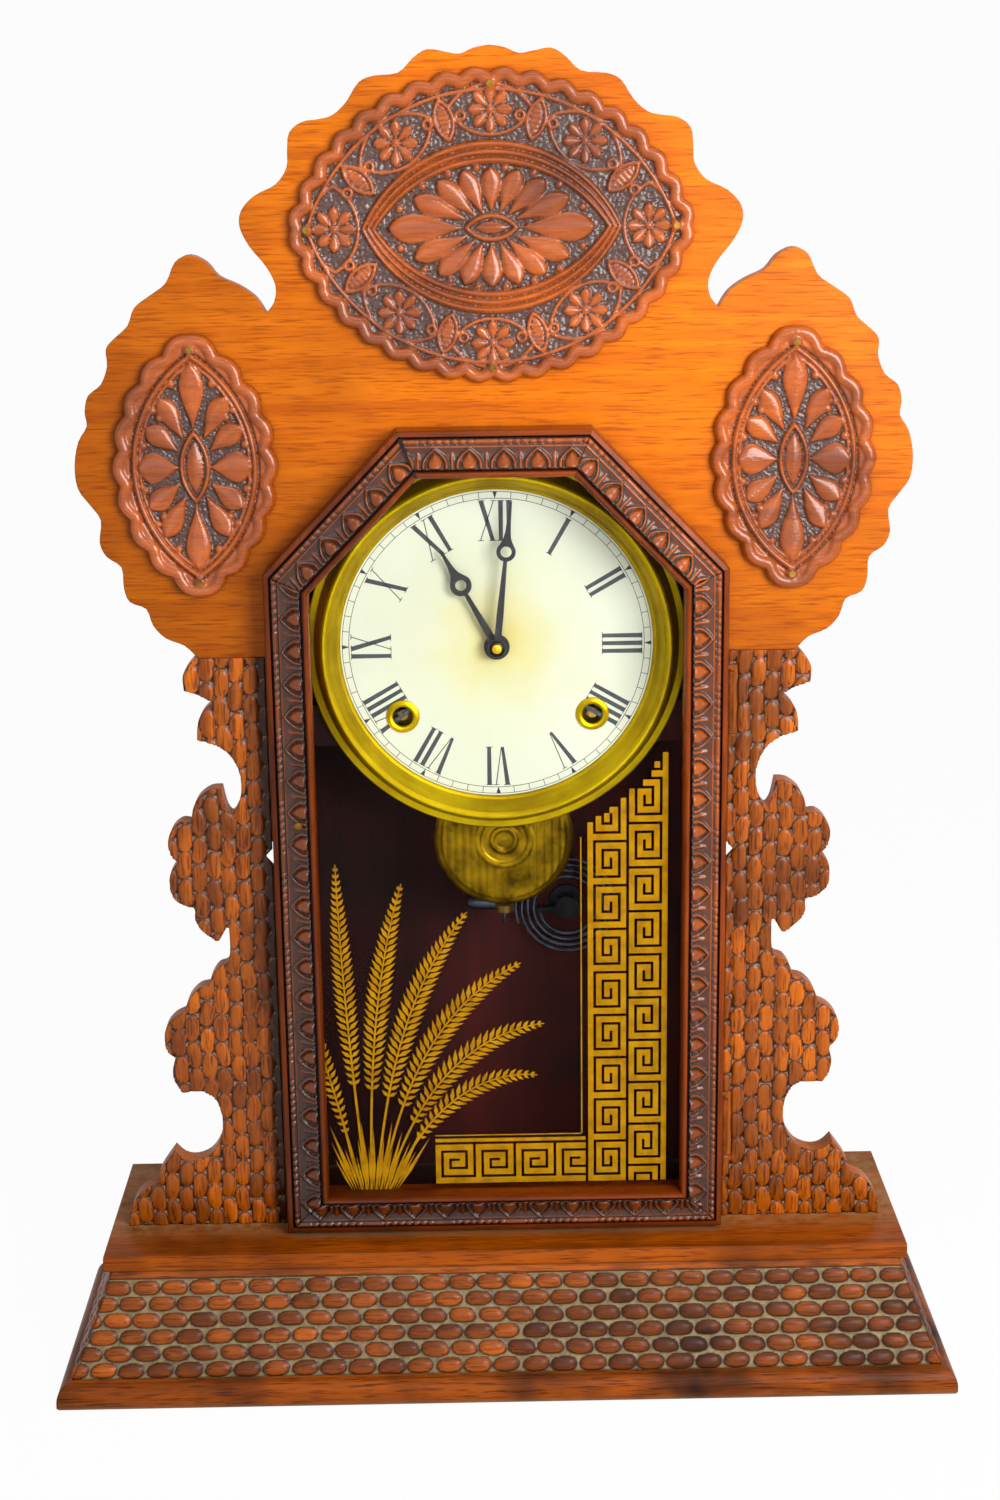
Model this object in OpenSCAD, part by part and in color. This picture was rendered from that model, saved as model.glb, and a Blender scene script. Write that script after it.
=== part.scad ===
// Pressed-oak shelf clock with an eight-day striking movement.
// The dial faces -Y and +X is to the viewer's right. The origin is on the floor below the middle.
// Outlines are drawn as seen from the front, in millimetres above the platform board.

/* [Base] */
// Width of the clock at the floor
base_w = 386.4; // [370:0.2:410]
// Depth of the clock at the floor
base_d = 114; // [110:1:126]
// Height of the rounded moulding along the foot
foot_h = 11; // [8:0.5:14]
// How far the foot moulding stands out past the skirt
foot_out = 6.4; // [4:0.2:9]
// Height of the sloping skirt
skirt_h = 43; // [36:1:50]
// How far the skirt spreads from top to bottom
skirt_flare = 17; // [12:0.5:22]
// Thickness of the skirt boards
skirt_t = 9; // [7:0.5:11]
// Thickness of the platform board
platform_t = 7; // [5:0.5:10]
// How far the platform board overhangs the skirt
platform_over = 3.3; // [1:0.1:5]

/* [Case] */
// Outer width of the box behind the front panels
case_w = 184; // [178:1:188]
// Height of the box
case_h = 367; // [362:1:385]
// Thickness of the box's sides and top
case_wall = 8; // [6:0.5:10]
// Thickness of the back board
back_t = 5; // [3:0.5:7]
// Thickness of the crest board and the wings
panel_t = 8; // [7:0.5:10]
// Distance from the clock's middle to the front of the panels
panel_front = 5.4; // [4:0.1:7]
// Half width of the opening behind the door
opening_half_w = 80; // [80:0.5:82]
// Height of the opening behind the door
opening_h = 338.5; // [338:0.5:345]
// Height of the seam between the crest board and the wings
seam_z = 256.4; // [252:0.2:259]
// Size of the diamond hole pierced in each wing, across the flats of its height
diamond_h = 15.2; // [10:0.2:18]

/* [Carvings] */
// Half length of the large crest medallion
crest_carving_a = 80.5; // [70:0.5:84]
// Half height of the large crest medallion
crest_carving_b = 60; // [50:0.5:62]
// Height of the middle of the crest medallion
crest_carving_z = 429; // [425:0.5:432]
// Half height of each side medallion
side_carving_a = 54.5; // [46:0.5:58]
// Half width of each side medallion
side_carving_b = 32.5; // [28:0.5:34]
// Height of the middle of the side medallions
side_carving_z = 336; // [330:0.5:340]
// Distance of each side medallion from the middle
side_carving_x = 121; // [118:0.5:124]
// Thickness of the medallions at their rims
carving_t = 3; // [2:0.25:4]
// Height of the rings and eyes above the rims
carving_relief = 2; // [1:0.25:3]

/* [Door] */
// Width of the door
door_w = 189.2; // [187:0.2:191]
// Height of the door
door_h = 349; // [346:0.5:352]
// Width of the door's top edge, between its clipped corners
door_top_w = 78.2; // [60:0.2:96]
// Height of the door's straight sides
door_side_h = 291.6; // [280:0.2:300]
// Width of the door's moulding
moulding_w = 18.5; // [17.5:0.1:20]
// Thickness of the door's moulding
moulding_t = 19.4; // [18:0.1:22]
// Thickness of the door's glass
glass_t = 2; // [1.5:0.1:2.5]
// Gap between the door and the panels behind it
door_gap = 0.4; // [0.3:0.05:0.8]
// Gap between the door and the platform board
door_lift = 1.7; // [1:0.1:3]
// Radius of the hinge barrels
hinge_r = 1.5; // [1.3:0.05:1.8]
// Length of each hinge
hinge_l = 26; // [20:1:34]

/* [Dial and hands] */
// Height of the dial's centre above the platform board
dial_z = 257.5; // [256.5:0.1:258.5]
// Radius of the white part of the dial
dial_r = 65.5; // [62:0.1:68]
// Outer radius of the brass bezel
bezel_r = 79.6; // [77:0.1:79.7]
// Distance from the clock's middle back to the dial's face
dial_back = 6.6; // [6:0.1:7.4]
// Thickness of the tin dial
dial_t = 0.8; // [0.6:0.1:1.2]
// Length of the minute hand from its centre
minute_hand_l = 62; // [54:0.5:64]
// Length of the hour hand from its centre
hour_hand_l = 47; // [40:0.5:50]
// Angle of the minute hand at rest, clockwise from twelve
minute_hand_at = 6; // [0:1:360]
// Angle of the hour hand at rest, clockwise from twelve
hour_hand_at = 331; // [0:1:360]

/* [Movement] */
// Distance of each winding arbor from the middle
arbor_x = 40; // [39:0.1:41]
// How far the winding arbors lie below the centre arbor
arbor_drop = 30.3; // [29:0.1:31.5]
// Half width of the brass plates
plate_half_w = 53; // [51:0.5:56]
// Height of the brass plates
plate_h = 118; // [114:1:122]
// Thickness of the brass plates
plate_t = 1.5; // [1.2:0.1:2]
// Space between the plates
plate_gap = 22; // [21:0.5:24]
// Distance from the clock's middle back to the front plate
plate_back = 20; // [19.5:0.1:21]
// Teeth of the great wheels
great_teeth = 72; // [66:1:76]
// Tooth module of the great wheels
great_module = 0.72; // [0.7:0.01:0.73]
// Radial running clearance of every pivot
run = 0.05; // [0.02:0.01:0.08]

/* [Pendulum and gong] */
// Distance of the pendulum from the middle
pendulum_x = 2; // [1:0.1:3]
// Height of the suspension above the dial's centre
suspension_up = 51.5; // [50:0.1:53]
// Distance from the suspension to the middle of the bob
pendulum_l = 138; // [134:0.5:146]
// Radius of the pendulum bob
bob_r = 30; // [24:0.5:32]
// Thickness of the pendulum bob
bob_t = 9; // [6:0.5:10]
// Distance of the gong's centre from the middle
gong_x = 30.3; // [28:0.1:33]
// Height of the gong's centre above the platform board
gong_z = 128.5; // [124:0.1:132]
// Radius of the gong's outermost turn
gong_r = 23.2; // [22.5:0.1:24.5]
// Distance between the gong's turns
gong_pitch = 2.7; // [2.5:0.05:3]
// Diameter of the gong's wire
gong_wire = 1.7; // [1.4:0.05:1.9]

/* [Hidden] */
$fn = 48;

oak = "#c8721f";
dark_oak = "#7a3b1e";
brass = "#b89a3c";
steel = "#5a5e66";
iron = "#2e3036";
eps = 0.01;

// ---- places worked out from the sizes above ----
back_y = base_d / 2;
front_y = -base_d / 2;
skirt_top = foot_h + skirt_h;
floor_z = skirt_top + platform_t;
skirt_half_w = base_w / 2 - skirt_flare - foot_out;
skirt_front_y = front_y + skirt_flare + foot_out;
panel_y = -panel_front;
panel_back_y = panel_y + panel_t;
inner_back_y = back_y - back_t;
case_inner = case_w / 2 - case_wall;

// ---- curves and frames ----
function blend(a, b, c, d, t) =
    0.5 * (2 * b + (c - a) * t + (2 * a - 5 * b + 4 * c - d) * t * t + (3 * b - a - 3 * c + d) * t * t * t);
// A smooth curve through the points of one stroke, with steps pieces between neighbours
function stroke(p, steps = 3) = [
    for (i = [0 : len(p) - 2], k = [0 : steps - 1])
        blend(p[max(i - 1, 0)], p[i], p[i + 1], p[min(i + 2, len(p) - 1)], k / steps)
];
function turned(a, r) = [r * cos(a), r * sin(a)];
function unit(v) = v / norm(v);
function left_of(v) = [-v[1], v[0]];
// The point at distance a from p and b from q, on the left of the way from p to q
function meet(p, q, a, b) =
    let (d = norm(q - p), u = (q - p) / d, s = (a * a - b * b + d * d) / (2 * d))
    p + s * u + sqrt(max(a * a - s * s, 0)) * left_of(u);
function angle_to(p, q) = atan2(q[1] - p[1], q[0] - p[0]);
// Where a mate's gap lies when a wheel at p, with a tooth at angle a, meshes with the mate at q
function gap_at(p, q, a, teeth, mate_teeth) = angle_to(q, p) - teeth / mate_teeth * (a - angle_to(p, q));
function mirrored(p) = [for (i = [len(p) - 1 : -1 : 0]) [-p[i][0], p[i][1]]];

// Draws in the plane of the front, x across and y up, thickness towards the viewer from depth y
module facing(y) {
    translate([0, y, 0])
        rotate([90, 0, 0])
            children();
}
module on_platform() {
    translate([0, 0, floor_z])
        children();
}
// A plate between two depths, drawn in the plane of the front
module slab(y0, y1) {
    facing(y1)
        linear_extrude(y1 - y0)
            children();
}
// A rod along Y between two depths, at a point of the front plane
module rod_y(p, r, y0, y1) {
    slab(y0, y1)
        translate(p)
            circle(r);
}
module both_sides() {
    children();
    mirror([1, 0, 0])
        children();
}

// ---- base ----
foot_profile = [[0, 0], [foot_out - 0.8, 0], [foot_out, 1.2], [foot_out, 0.3 * foot_h],
    for (a = [0 : 15 : 90]) [foot_out * (0.22 + 0.78 * cos(a)), foot_h * (0.3 + 0.66 * sin(a))],
    [0, foot_h], [-skirt_t, foot_h], [-skirt_t, 0]];
function skirt_out(t) = skirt_flare * (0.75 * (1 - t) + 0.25 * (1 - t) * (1 - t));
skirt_profile = [
    for (t = [0 : 0.125 : 1]) [skirt_out(t), foot_h + skirt_h * t],
    for (t = [1 : -0.125 : 0]) [skirt_out(t) - skirt_t, foot_h + skirt_h * t]];

// A board that runs along the front, its profile drawn outwards from the skirt's top edge
module front_run(profile, out) {
    intersection() {
        translate([0, skirt_front_y, 0])
            rotate([90, 0, 90])
                linear_extrude(base_w + 2, center = true)
                    polygon([for (p = profile) [-p[0] - out, p[1]]]);
        mitre_wedge();
    }
}
// The plan of the front run, cut at 45 degrees through the skirt's top corners
module mitre_wedge() {
    reach = skirt_flare + foot_out + 10;
    back = skirt_t + 10;
    translate([0, 0, -1])
        linear_extrude(skirt_top + 2)
            polygon([[-skirt_half_w - reach, skirt_front_y - reach],
                [skirt_half_w + reach, skirt_front_y - reach],
                [skirt_half_w - back, skirt_front_y + back],
                [-skirt_half_w + back, skirt_front_y + back]]);
}
module side_run(profile, out) {
    difference() {
        translate([skirt_half_w, back_y, 0])
            rotate([90, 0, 0])
                linear_extrude(base_d + 2)
                    polygon([for (p = profile) [p[0] + out, p[1]]]);
        mitre_wedge();
        translate([0, skirt_front_y - base_d - skirt_flare - foot_out, -1])
            cube([base_w, base_d, skirt_top + 2]);
    }
}
module base_front_moulding() {
    color(dark_oak)
        front_run(foot_profile, skirt_flare);
}
module base_side_mouldings() {
    color(dark_oak)
        both_sides()
            side_run(foot_profile, skirt_flare);
}
module base_front_skirt() {
    color(oak)
        front_run(skirt_profile, 0);
}
module base_side_skirts() {
    color(oak)
        both_sides()
            side_run(skirt_profile, 0);
}
module platform_board() {
    half_w = skirt_half_w + platform_over;
    y0 = skirt_front_y - platform_over;
    soft = 1.4;
    color(oak)
        translate([-half_w, 0, skirt_top])
            rotate([90, 0, 90])
                linear_extrude(2 * half_w)
                    polygon([[back_y, 0], [back_y, platform_t], [y0 + soft, platform_t],
                        [y0 + 0.3, platform_t - soft * 0.6], [y0, platform_t / 2], [y0 + 0.3, soft * 0.6],
                        [y0 + soft, 0]]);
}
// Triangular blocks glued in the corners under the platform board
module base_glue_blocks() {
    size = 16;
    tall = 20;
    inside = skirt_half_w - skirt_t;
    color("#b58a55")
        for (side = [-1, 1], y = [skirt_front_y + skirt_t, back_y - size])
            translate([side * inside, y, skirt_top - tall])
                linear_extrude(tall)
                    polygon([[0, 0], [-side * size, 0], [0, size]]);
}

// ---- front panels ----
crest_strokes = [
    [[0, 498], [6, 497], [11.5, 494.8], [17, 495.6], [24, 496.6], [29.5, 493.5], [35.5, 488], [45, 487],
        [51, 484.5], [56, 477.2], [61.5, 472.4], [67, 471], [73.5, 470], [78.5, 466], [79.5, 459],
        [80, 452.8],
        [84.5, 446.5], [93, 442.3], [98.5, 436.5], [99.2, 430], [95.5, 422.5], [89.5, 415], [86, 407.5],
        [86.8, 401], [90.2, 396.8]],
    [[90.2, 396.8], [94.2, 403], [101, 407.8], [108.5, 411.3], [113.2, 416.8], [119.8, 419.8], [125.5, 417],
        [129.5, 409], [136, 404.3], [142.5, 399.5], [145.5, 392.5], [151.5, 387.2], [154.6, 383.3],
        [154.5, 376.5], [157.5, 369.3], [162.8, 365], [164.5, 358.5], [164, 352.8], [167.8, 346.5],
        [169.8, 337], [169, 327.5], [164.5, 320.8], [160.5, 314.5], [161.5, 305.5], [159, 299.5],
        [153.2, 295], [152.7, 286.5], [150.5, 280.5], [144, 277.5], [141.5, 270.5], [136.5, 265],
        [129, 261.8], [123.7, seam_z]]];
wing_strokes = [
    [[125.5, seam_z], [128.6, 252.8], [130.5, 248.5], [130.2, 242.6]],
    [[130.2, 242.6], [125, 241], [118.5, 237.6]],
    [[118.5, 237.6], [122.5, 234], [125, 229], [125.6, 221.4]],
    [[125.6, 221.4], [119, 219.5], [113.4, 215.8], [109.4, 209.5], [108, 202.5], [109, 195.3],
        [112.2, 189.2],
        [114.4, 191], [115.6, 195], [116.6, 200.3]],
    [[116.6, 200.3], [121.5, 199.8], [126.4, 196.2], [129, 191], [129.6, 185.5]],
    [[129.6, 185.5], [134, 186], [138, 182.8], [140, 177.5], [139.2, 171.5], [136.4, 168]],
    [[136.4, 168], [139.4, 164], [140.3, 158], [139, 152.4], [135, 148.8], [130.3, 147.2], [130.2, 142],
        [127.3, 137.2], [121.3, 132.6], [118.5, 136], [116, 140.3]],
    [[116, 140.3], [115.8, 134.5], [116, 127], [117.6, 122.2], [121.4, 120.6], [124.4, 116.4],
        [125.6, 112.2]],
    [[125.6, 112.2], [130.2, 111], [134.6, 106.2], [136.8, 100]],
    [[136.8, 100], [141.2, 97.8], [145, 93.2], [146, 87], [144.6, 81.8], [141.8, 79]],
    [[141.8, 79], [143.2, 72.6], [142, 67], [139.2, 62.8]],
    [[139.2, 62.8], [134.8, 63.4], [130, 63], [125.6, 60], [123, 53.4], [122.6, 46.4], [124.4, 39.6],
        [128.6, 33.4], [134.8, 30.7], [140.2, 31.6], [144.3, 35.6]],
    [[144.3, 35.6], [147.6, 31], [150.8, 26], [153, 19.6]],
    [[153, 19.6], [158, 17.4], [162.4, 12.6], [165, 6.6], [165.7, 0]]];
function outline(strokes) = [for (s = strokes) each stroke(s)];
opening_cut = opening_h - 37;

module opening_outline() {
    polygon([[-opening_half_w, -1], [opening_half_w, -1], [opening_half_w, opening_cut],
        [opening_half_w - 37, opening_h], [-opening_half_w + 37, opening_h],
        [-opening_half_w, opening_cut]]);
}
module crest_board() {
    half = concat(outline(crest_strokes), [[123.7, seam_z]]);
    color(oak)
        on_platform()
            difference() {
                slab(panel_y, panel_back_y)
                    difference() {
                        polygon(concat(half, mirrored(half)));
                        opening_outline();
                    }
                all_pin_holes();
            }
}
module wing() {
    diamond_x = 95;
    slab(panel_y, panel_back_y)
        difference() {
            polygon(concat([[opening_half_w, 0], [opening_half_w, seam_z]], outline(wing_strokes),
                [[165.7, 0]]));
            polygon([[diamond_x - diamond_h * 0.44, 170], [diamond_x, 170 + diamond_h / 2],
                [diamond_x + diamond_h * 0.44, 170], [diamond_x, 170 - diamond_h / 2]]);
        }
}
module left_wing() {
    color(oak)
        on_platform()
            difference() {
                mirror([1, 0, 0])
                    wing();
                latch_pocket();
                keeper_plate();
            }
}
module right_wing() {
    color(oak)
        on_platform()
            difference() {
                wing();
                for (z = hinge_zs)
                    case_leaf_plate(z);
            }
}

// ---- carved medallions ----
// A point on a lens of half length a and half height b, at step s of 0 to 4, its rim scalloped by amp
function lens_point(a, b, s, lobes, amp) =
    let (r = (a * a + b * b) / (2 * b), half = asin(a / r), upper = s < 2, t = upper ? s / 2 : (s - 2) / 2,
        q = half - 2 * half * t, rr = r + amp * (abs(sin(180 * lobes * t)) - 0.5))
    upper ? [rr * sin(q), rr * cos(q) - r + b] : [-rr * sin(q), -rr * cos(q) + r - b];
module lens(a, b, lobes = 0, amp = 0) {
    steps = lobes > 0 ? 4 * lobes : 16;
    polygon([for (i = [0 : 2 * steps - 1]) lens_point(a, b, 2 * i / steps, lobes, amp)]);
}
module lens_ring(a, b, w) {
    difference() {
        lens(a, b);
        lens(a - 1.6 * w, b - w);
    }
}
// Rim, double ring and eye of one medallion, lying flat with its face up
module medallion(a, b, lobes, inner) {
    linear_extrude(carving_t)
        lens(a, b, lobes, 2.4);
    translate([0, 0, carving_t - eps])
        linear_extrude(carving_relief)
            lens_ring(a - 6, b - 4.5, 2);
    translate([0, 0, carving_t - eps])
        linear_extrude(carving_relief * 1.3)
            lens_ring(a * inner, b * inner * 0.92, 3);
    translate([0, 0, carving_t - eps])
        linear_extrude(carving_relief)
            lens(a * 0.13, b * 0.11);
}
crest_pins = [[crest_carving_a - 7.6, 0], [-crest_carving_a + 7.6, 0], [0, crest_carving_b - 5.5],
    [0, -crest_carving_b + 5.5]];
side_pins = [[side_carving_a - 7.6, 0], [-side_carving_a + 7.6, 0]];
pin_r = 0.7;
module at_crest_carving() {
    translate([0, crest_carving_z, 0])
        children();
}
module at_side_carving(side) {
    translate([side * side_carving_x, side_carving_z, 0])
        rotate(90)
            children();
}
module pins(places, r, z0, z1) {
    for (p = places)
        translate([p[0], p[1], z0])
            cylinder(h = z1 - z0, r = r);
}
module all_pin_holes() {
    facing(panel_y) {
        at_crest_carving()
            pins(crest_pins, pin_r + run, -5, carving_t + carving_relief + 1);
        for (side = [-1, 1])
            at_side_carving(side)
                pins(side_pins, pin_r + run, -5, carving_t + carving_relief + 1);
    }
}
module crest_medallion() {
    color(dark_oak)
        on_platform()
            difference() {
                facing(panel_y)
                    at_crest_carving()
                        medallion(crest_carving_a, crest_carving_b, 18, 0.64);
                all_pin_holes();
            }
}
module side_medallions() {
    color(dark_oak)
        on_platform()
            difference() {
                facing(panel_y)
                    for (side = [-1, 1])
                        at_side_carving(side)
                            medallion(side_carving_a, side_carving_b, 9, 0.8);
                all_pin_holes();
            }
}
module medallion_pins() {
    color(brass)
        on_platform()
            facing(panel_y) {
                at_crest_carving()
                    brass_pins(crest_pins);
                for (side = [-1, 1])
                    at_side_carving(side)
                        brass_pins(side_pins);
            }
}
module brass_pins(places) {
    pins(places, pin_r, -4.5, carving_t + carving_relief);
    pins(places, pin_r + 0.6, carving_t + carving_relief + 0.02, carving_t + carving_relief + 0.7);
    pins(places, pin_r, carving_t + carving_relief - eps, carving_t + carving_relief + 0.1);
}

// ---- box behind the panels ----
module case_sides() {
    color(oak)
        on_platform()
            both_sides()
                translate([case_inner, panel_back_y, 0])
                    cube([case_wall, back_y - panel_back_y, case_h - case_wall]);
}
module case_top() {
    color(oak)
        on_platform()
            translate([-case_w / 2, panel_back_y, case_h - case_wall])
                cube([case_w, back_y - panel_back_y, case_wall]);
}
module back_board() {
    color("#5b2f1c")
        on_platform()
            translate([-case_inner, inner_back_y, 0])
                cube([2 * case_inner, back_t, case_h - case_wall]);
}

// ---- door ----
door_half = door_w / 2;
door_points = [[-door_half, door_lift], [door_half, door_lift], [door_half, door_lift + door_side_h],
    [door_top_w / 2, door_lift + door_h], [-door_top_w / 2, door_lift + door_h],
    [-door_half, door_lift + door_side_h]];
door_back_y = panel_y - door_gap;
door_front_y = door_back_y - moulding_t;
rebate_u = moulding_w - 5.5;
rebate_v = 10.2;
// The polygon's corner number i, moved inwards by w along the mitre
function inset_corner(p, i, w) =
    let (n = len(p), a = left_of(unit(p[i] - p[(i + n - 1) % n])),
        b = left_of(unit(p[(i + 1) % n] - p[i])))
    p[i] + w * (a + b) / (1 + a * b);
function inset(p, w) = [for (i = [0 : len(p) - 1]) inset_corner(p, i, w)];
// Section of the moulding: u runs inwards from the door's outer edge, v towards the viewer from its back
door_section = [[0, 0], [rebate_u, 0], [rebate_u, rebate_v], [moulding_w, rebate_v],
    [moulding_w, moulding_t - 3], [moulding_w - 0.3, moulding_t - 1.4],
    [moulding_w - 0.9, moulding_t - 0.4], [moulding_w - 1.7, moulding_t],
    [moulding_w - 2.4, moulding_t - 0.6], [moulding_w - 2.8, moulding_t - 2],
    [moulding_w - 2.9, moulding_t - 4.6], [moulding_w - 3.5, moulding_t - 4.6],
    [moulding_w - 3.6, moulding_t - 1.6], [moulding_w - 5, moulding_t - 3.2],
    [moulding_w - 7, moulding_t - 4.3], [moulding_w - 9.5, moulding_t - 4.8],
    [6.6, moulding_t - 4.4], [5.6, moulding_t - 4.8], [5.5, moulding_t - 6.6],
    for (a = [0 : 30 : 180]) [4.2 + 1.25 * cos(a), moulding_t - 6.6 + 1.25 * sin(a)],
    [2.9, moulding_t - 8.2], [2.5, moulding_t - 8.2], [2.2, moulding_t - 5.6], [0.3, moulding_t - 5.9],
    [0, moulding_t - 6.4]];
module door_piece(i) {
    a = door_points[i];
    b = door_points[(i + 1) % 6];
    inner = inset(door_points, moulding_w + 1);
    outer = inset(door_points, -1);
    facing(door_back_y)
        intersection() {
            translate(a)
                rotate(angle_to(a, b))
                    rotate([90, 0, 90])
                        translate([0, 0, -20])
                            linear_extrude(norm(b - a) + 40)
                                polygon(door_section);
            translate([0, 0, -1])
                linear_extrude(moulding_t + 2)
                    polygon([outer[i], outer[(i + 1) % 6], inner[(i + 1) % 6], inner[i]]);
        }
}
module door_bottom_rail() {
    color(dark_oak)
        on_platform()
            door_piece(0);
}
module door_right_stile() {
    color(dark_oak)
        on_platform()
            difference() {
                door_piece(1);
                for (z = hinge_zs)
                    door_leaf_plate(z);
            }
}
module door_diagonals() {
    color(dark_oak)
        on_platform() {
            door_piece(2);
            door_piece(4);
        }
}
module door_top_rail() {
    color(dark_oak)
        on_platform()
            door_piece(3);
}
module door_left_stile() {
    color(dark_oak)
        on_platform()
            difference() {
                door_piece(5);
                rod_y([latch_x, latch_z], latch_r + run, door_front_y - 1, door_back_y + 1);
            }
}
glass_gap = 0.2;
module door_glass() {
    color("#20242480")
        on_platform()
            slab(door_back_y - rebate_v, door_back_y - rebate_v + glass_t)
                polygon(inset(door_points, rebate_u + glass_gap));
}
// Thin strips tacked in the rebate behind the glass
module glass_retainers() {
    outer = inset(door_points, rebate_u + 0.05);
    inner = inset(door_points, rebate_u + 3);
    color(dark_oak)
        on_platform()
            for (i = [0 : 5])
                slab(door_back_y - rebate_v + glass_t, door_back_y - 0.1)
                    polygon([outer[i], outer[(i + 1) % 6], inner[(i + 1) % 6], inner[i]]);
}

// ---- hinges and latch ----
hinge_zs = [44, seam_z - 21];
hinge_x = door_half + hinge_r + 0.4;
hinge_y = door_back_y - 3.2;
hinge_pin_r = 0.7;
leaf_t = 0.8;
knuckle = hinge_l / 3;
module hinge_rod(z, l, r) {
    translate([hinge_x, hinge_y, z - l / 2])
        cylinder(h = l, r = r);
}
module case_leaf_plate(z) {
    translate([hinge_x - 9, panel_y, z - hinge_l / 2])
        cube([9.6, leaf_t, hinge_l]);
}
module door_leaf_plate(z) {
    translate([door_half - leaf_t, hinge_y - 8, z - hinge_l / 2])
        cube([leaf_t, 8.6, hinge_l]);
}
// Knuckles at the given heights joined to a leaf by a short web
module knuckles(zs, l, web_from, web_to) {
    for (z = zs)
        difference() {
            union() {
                hinge_rod(z, l, hinge_r);
                translate([min(web_from[0], web_to[0]), min(web_from[1], web_to[1]), z - l / 2])
                    cube([abs(web_to[0] - web_from[0]), abs(web_to[1] - web_from[1]), l]);
            }
            hinge_rod(z, l + 1, hinge_pin_r + run);
        }
}
module hinge_case_leaves() {
    color(brass)
        on_platform()
            for (z = hinge_zs) {
                union() {
                    case_leaf_plate(z);
                    knuckles([z - knuckle, z + knuckle], knuckle - 0.1, [hinge_x - 0.6, panel_y + leaf_t],
                        [hinge_x + 0.6, hinge_y + hinge_pin_r + 0.3]);
                }
                hinge_rod(z, hinge_l + 0.8, hinge_pin_r);
            }
}
module hinge_door_leaves() {
    color(brass)
        on_platform()
            for (z = hinge_zs) {
                door_leaf_plate(z);
                knuckles([z], knuckle - 0.1, [door_half - leaf_t, hinge_y - 0.6],
                    [hinge_x - hinge_pin_r - 0.3, hinge_y + 0.6]);
            }
}
latch_x = -door_half + rebate_u - 1.8;
latch_z = 188.8;
latch_r = 1;
arm_l = 8;
keeper_x = latch_x - 3;
arm_y = panel_y + 1.8;
module latch_pocket() {
    translate([latch_x - arm_l - 0.8, panel_y - 1, latch_z - arm_l - 0.8])
        cube([arm_l + 10, panel_t + 2, arm_l + 3.4]);
}
module keeper_plate() {
    translate([keeper_x - 8, panel_y, latch_z - arm_l - 2.4])
        cube([8, 1, arm_l + 7.4]);
}
module latch_keeper() {
    color(brass)
        on_platform()
            keeper_plate();
}
module latch_button() {
    color(brass)
        on_platform() {
            rod_y([latch_x, latch_z], latch_r, door_front_y + 2, arm_y + 1.5);
            rod_y([latch_x, latch_z], latch_r + 0.5, door_front_y + 1.2, door_front_y + 2.4);
            slab(arm_y, arm_y + 1.5) {
                translate([latch_x - 1.5, latch_z - arm_l + 1.5])
                    square([3, arm_l - 1.5]);
                translate([latch_x, latch_z])
                    circle(1.5);
                translate([latch_x, latch_z - arm_l + 1.5])
                    circle(1.5);
            }
        }
}

// ---- dial ----
centre = [0, dial_z];
dial_back_y = dial_back + dial_t;
winding = [arbor_x, dial_z - arbor_drop];
function other_side(p) = [-p[0], p[1]];
grommet_r = 7.1;
key_hole_r = 4.2;
module dial_plate() {
    color("ivory")
        on_platform()
            slab(dial_back, dial_back_y)
                difference() {
                    translate(centre)
                        circle(bezel_r - 1);
                    translate(centre)
                        circle(4.2);
                    for (p = [winding, other_side(winding)])
                        translate(p)
                            circle(key_hole_r + 0.8);
                }
}
// Ogee ring pressed from thin brass, standing on the dial's rim
module dial_bezel() {
    deep = dial_back - panel_y - 1.4;
    color(brass)
        on_platform()
            facing(dial_back)
                translate(centre)
                    rotate_extrude()
                        polygon([[dial_r, 0], [dial_r + 0.4, 1.2], [dial_r + 1.4, 2],
                            [dial_r + 2, deep * 0.32], [dial_r + 3, deep * 0.54],
                            [dial_r + 4.4, deep * 0.76], [dial_r + 5, deep * 0.91],
                            [dial_r + 5.9, deep * 0.99], [dial_r + 6.9, deep], [dial_r + 7.8, deep * 0.94],
                            [dial_r + 8.6, deep * 0.76], [dial_r + 9.2, deep * 0.6],
                            [dial_r + 10, deep * 0.44], [dial_r + 10.5, deep * 0.2],
                            [dial_r + 11, 1.2], [bezel_r - 0.5, 1.2], [bezel_r, 0.7], [bezel_r, 0]]);
}
module winding_grommets() {
    color(brass)
        on_platform()
            for (p = [winding, other_side(winding)])
                facing(dial_back_y)
                    translate(p)
                        rotate_extrude()
                            polygon([[key_hole_r, 0], [key_hole_r + 0.7, 0], [key_hole_r + 0.7, dial_t],
                                [grommet_r, dial_t], [grommet_r - 0.2, dial_t + 0.6],
                                [key_hole_r + 1.2, dial_t + 1.4],
                                [key_hole_r + 0.3, dial_t + 1], [key_hole_r, dial_t + 0.4]]);
}
// Wooden blocks on the case sides that the dial is nailed to
module dial_blocks() {
    tall = 18;
    color("#b58a55")
        on_platform()
            both_sides()
                for (z = [dial_z - 34, dial_z + 34])
                    translate([bezel_r - 14, dial_back_y, z - tall / 2])
                        cube([case_inner - bezel_r + 14, 12, tall]);
}

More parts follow.
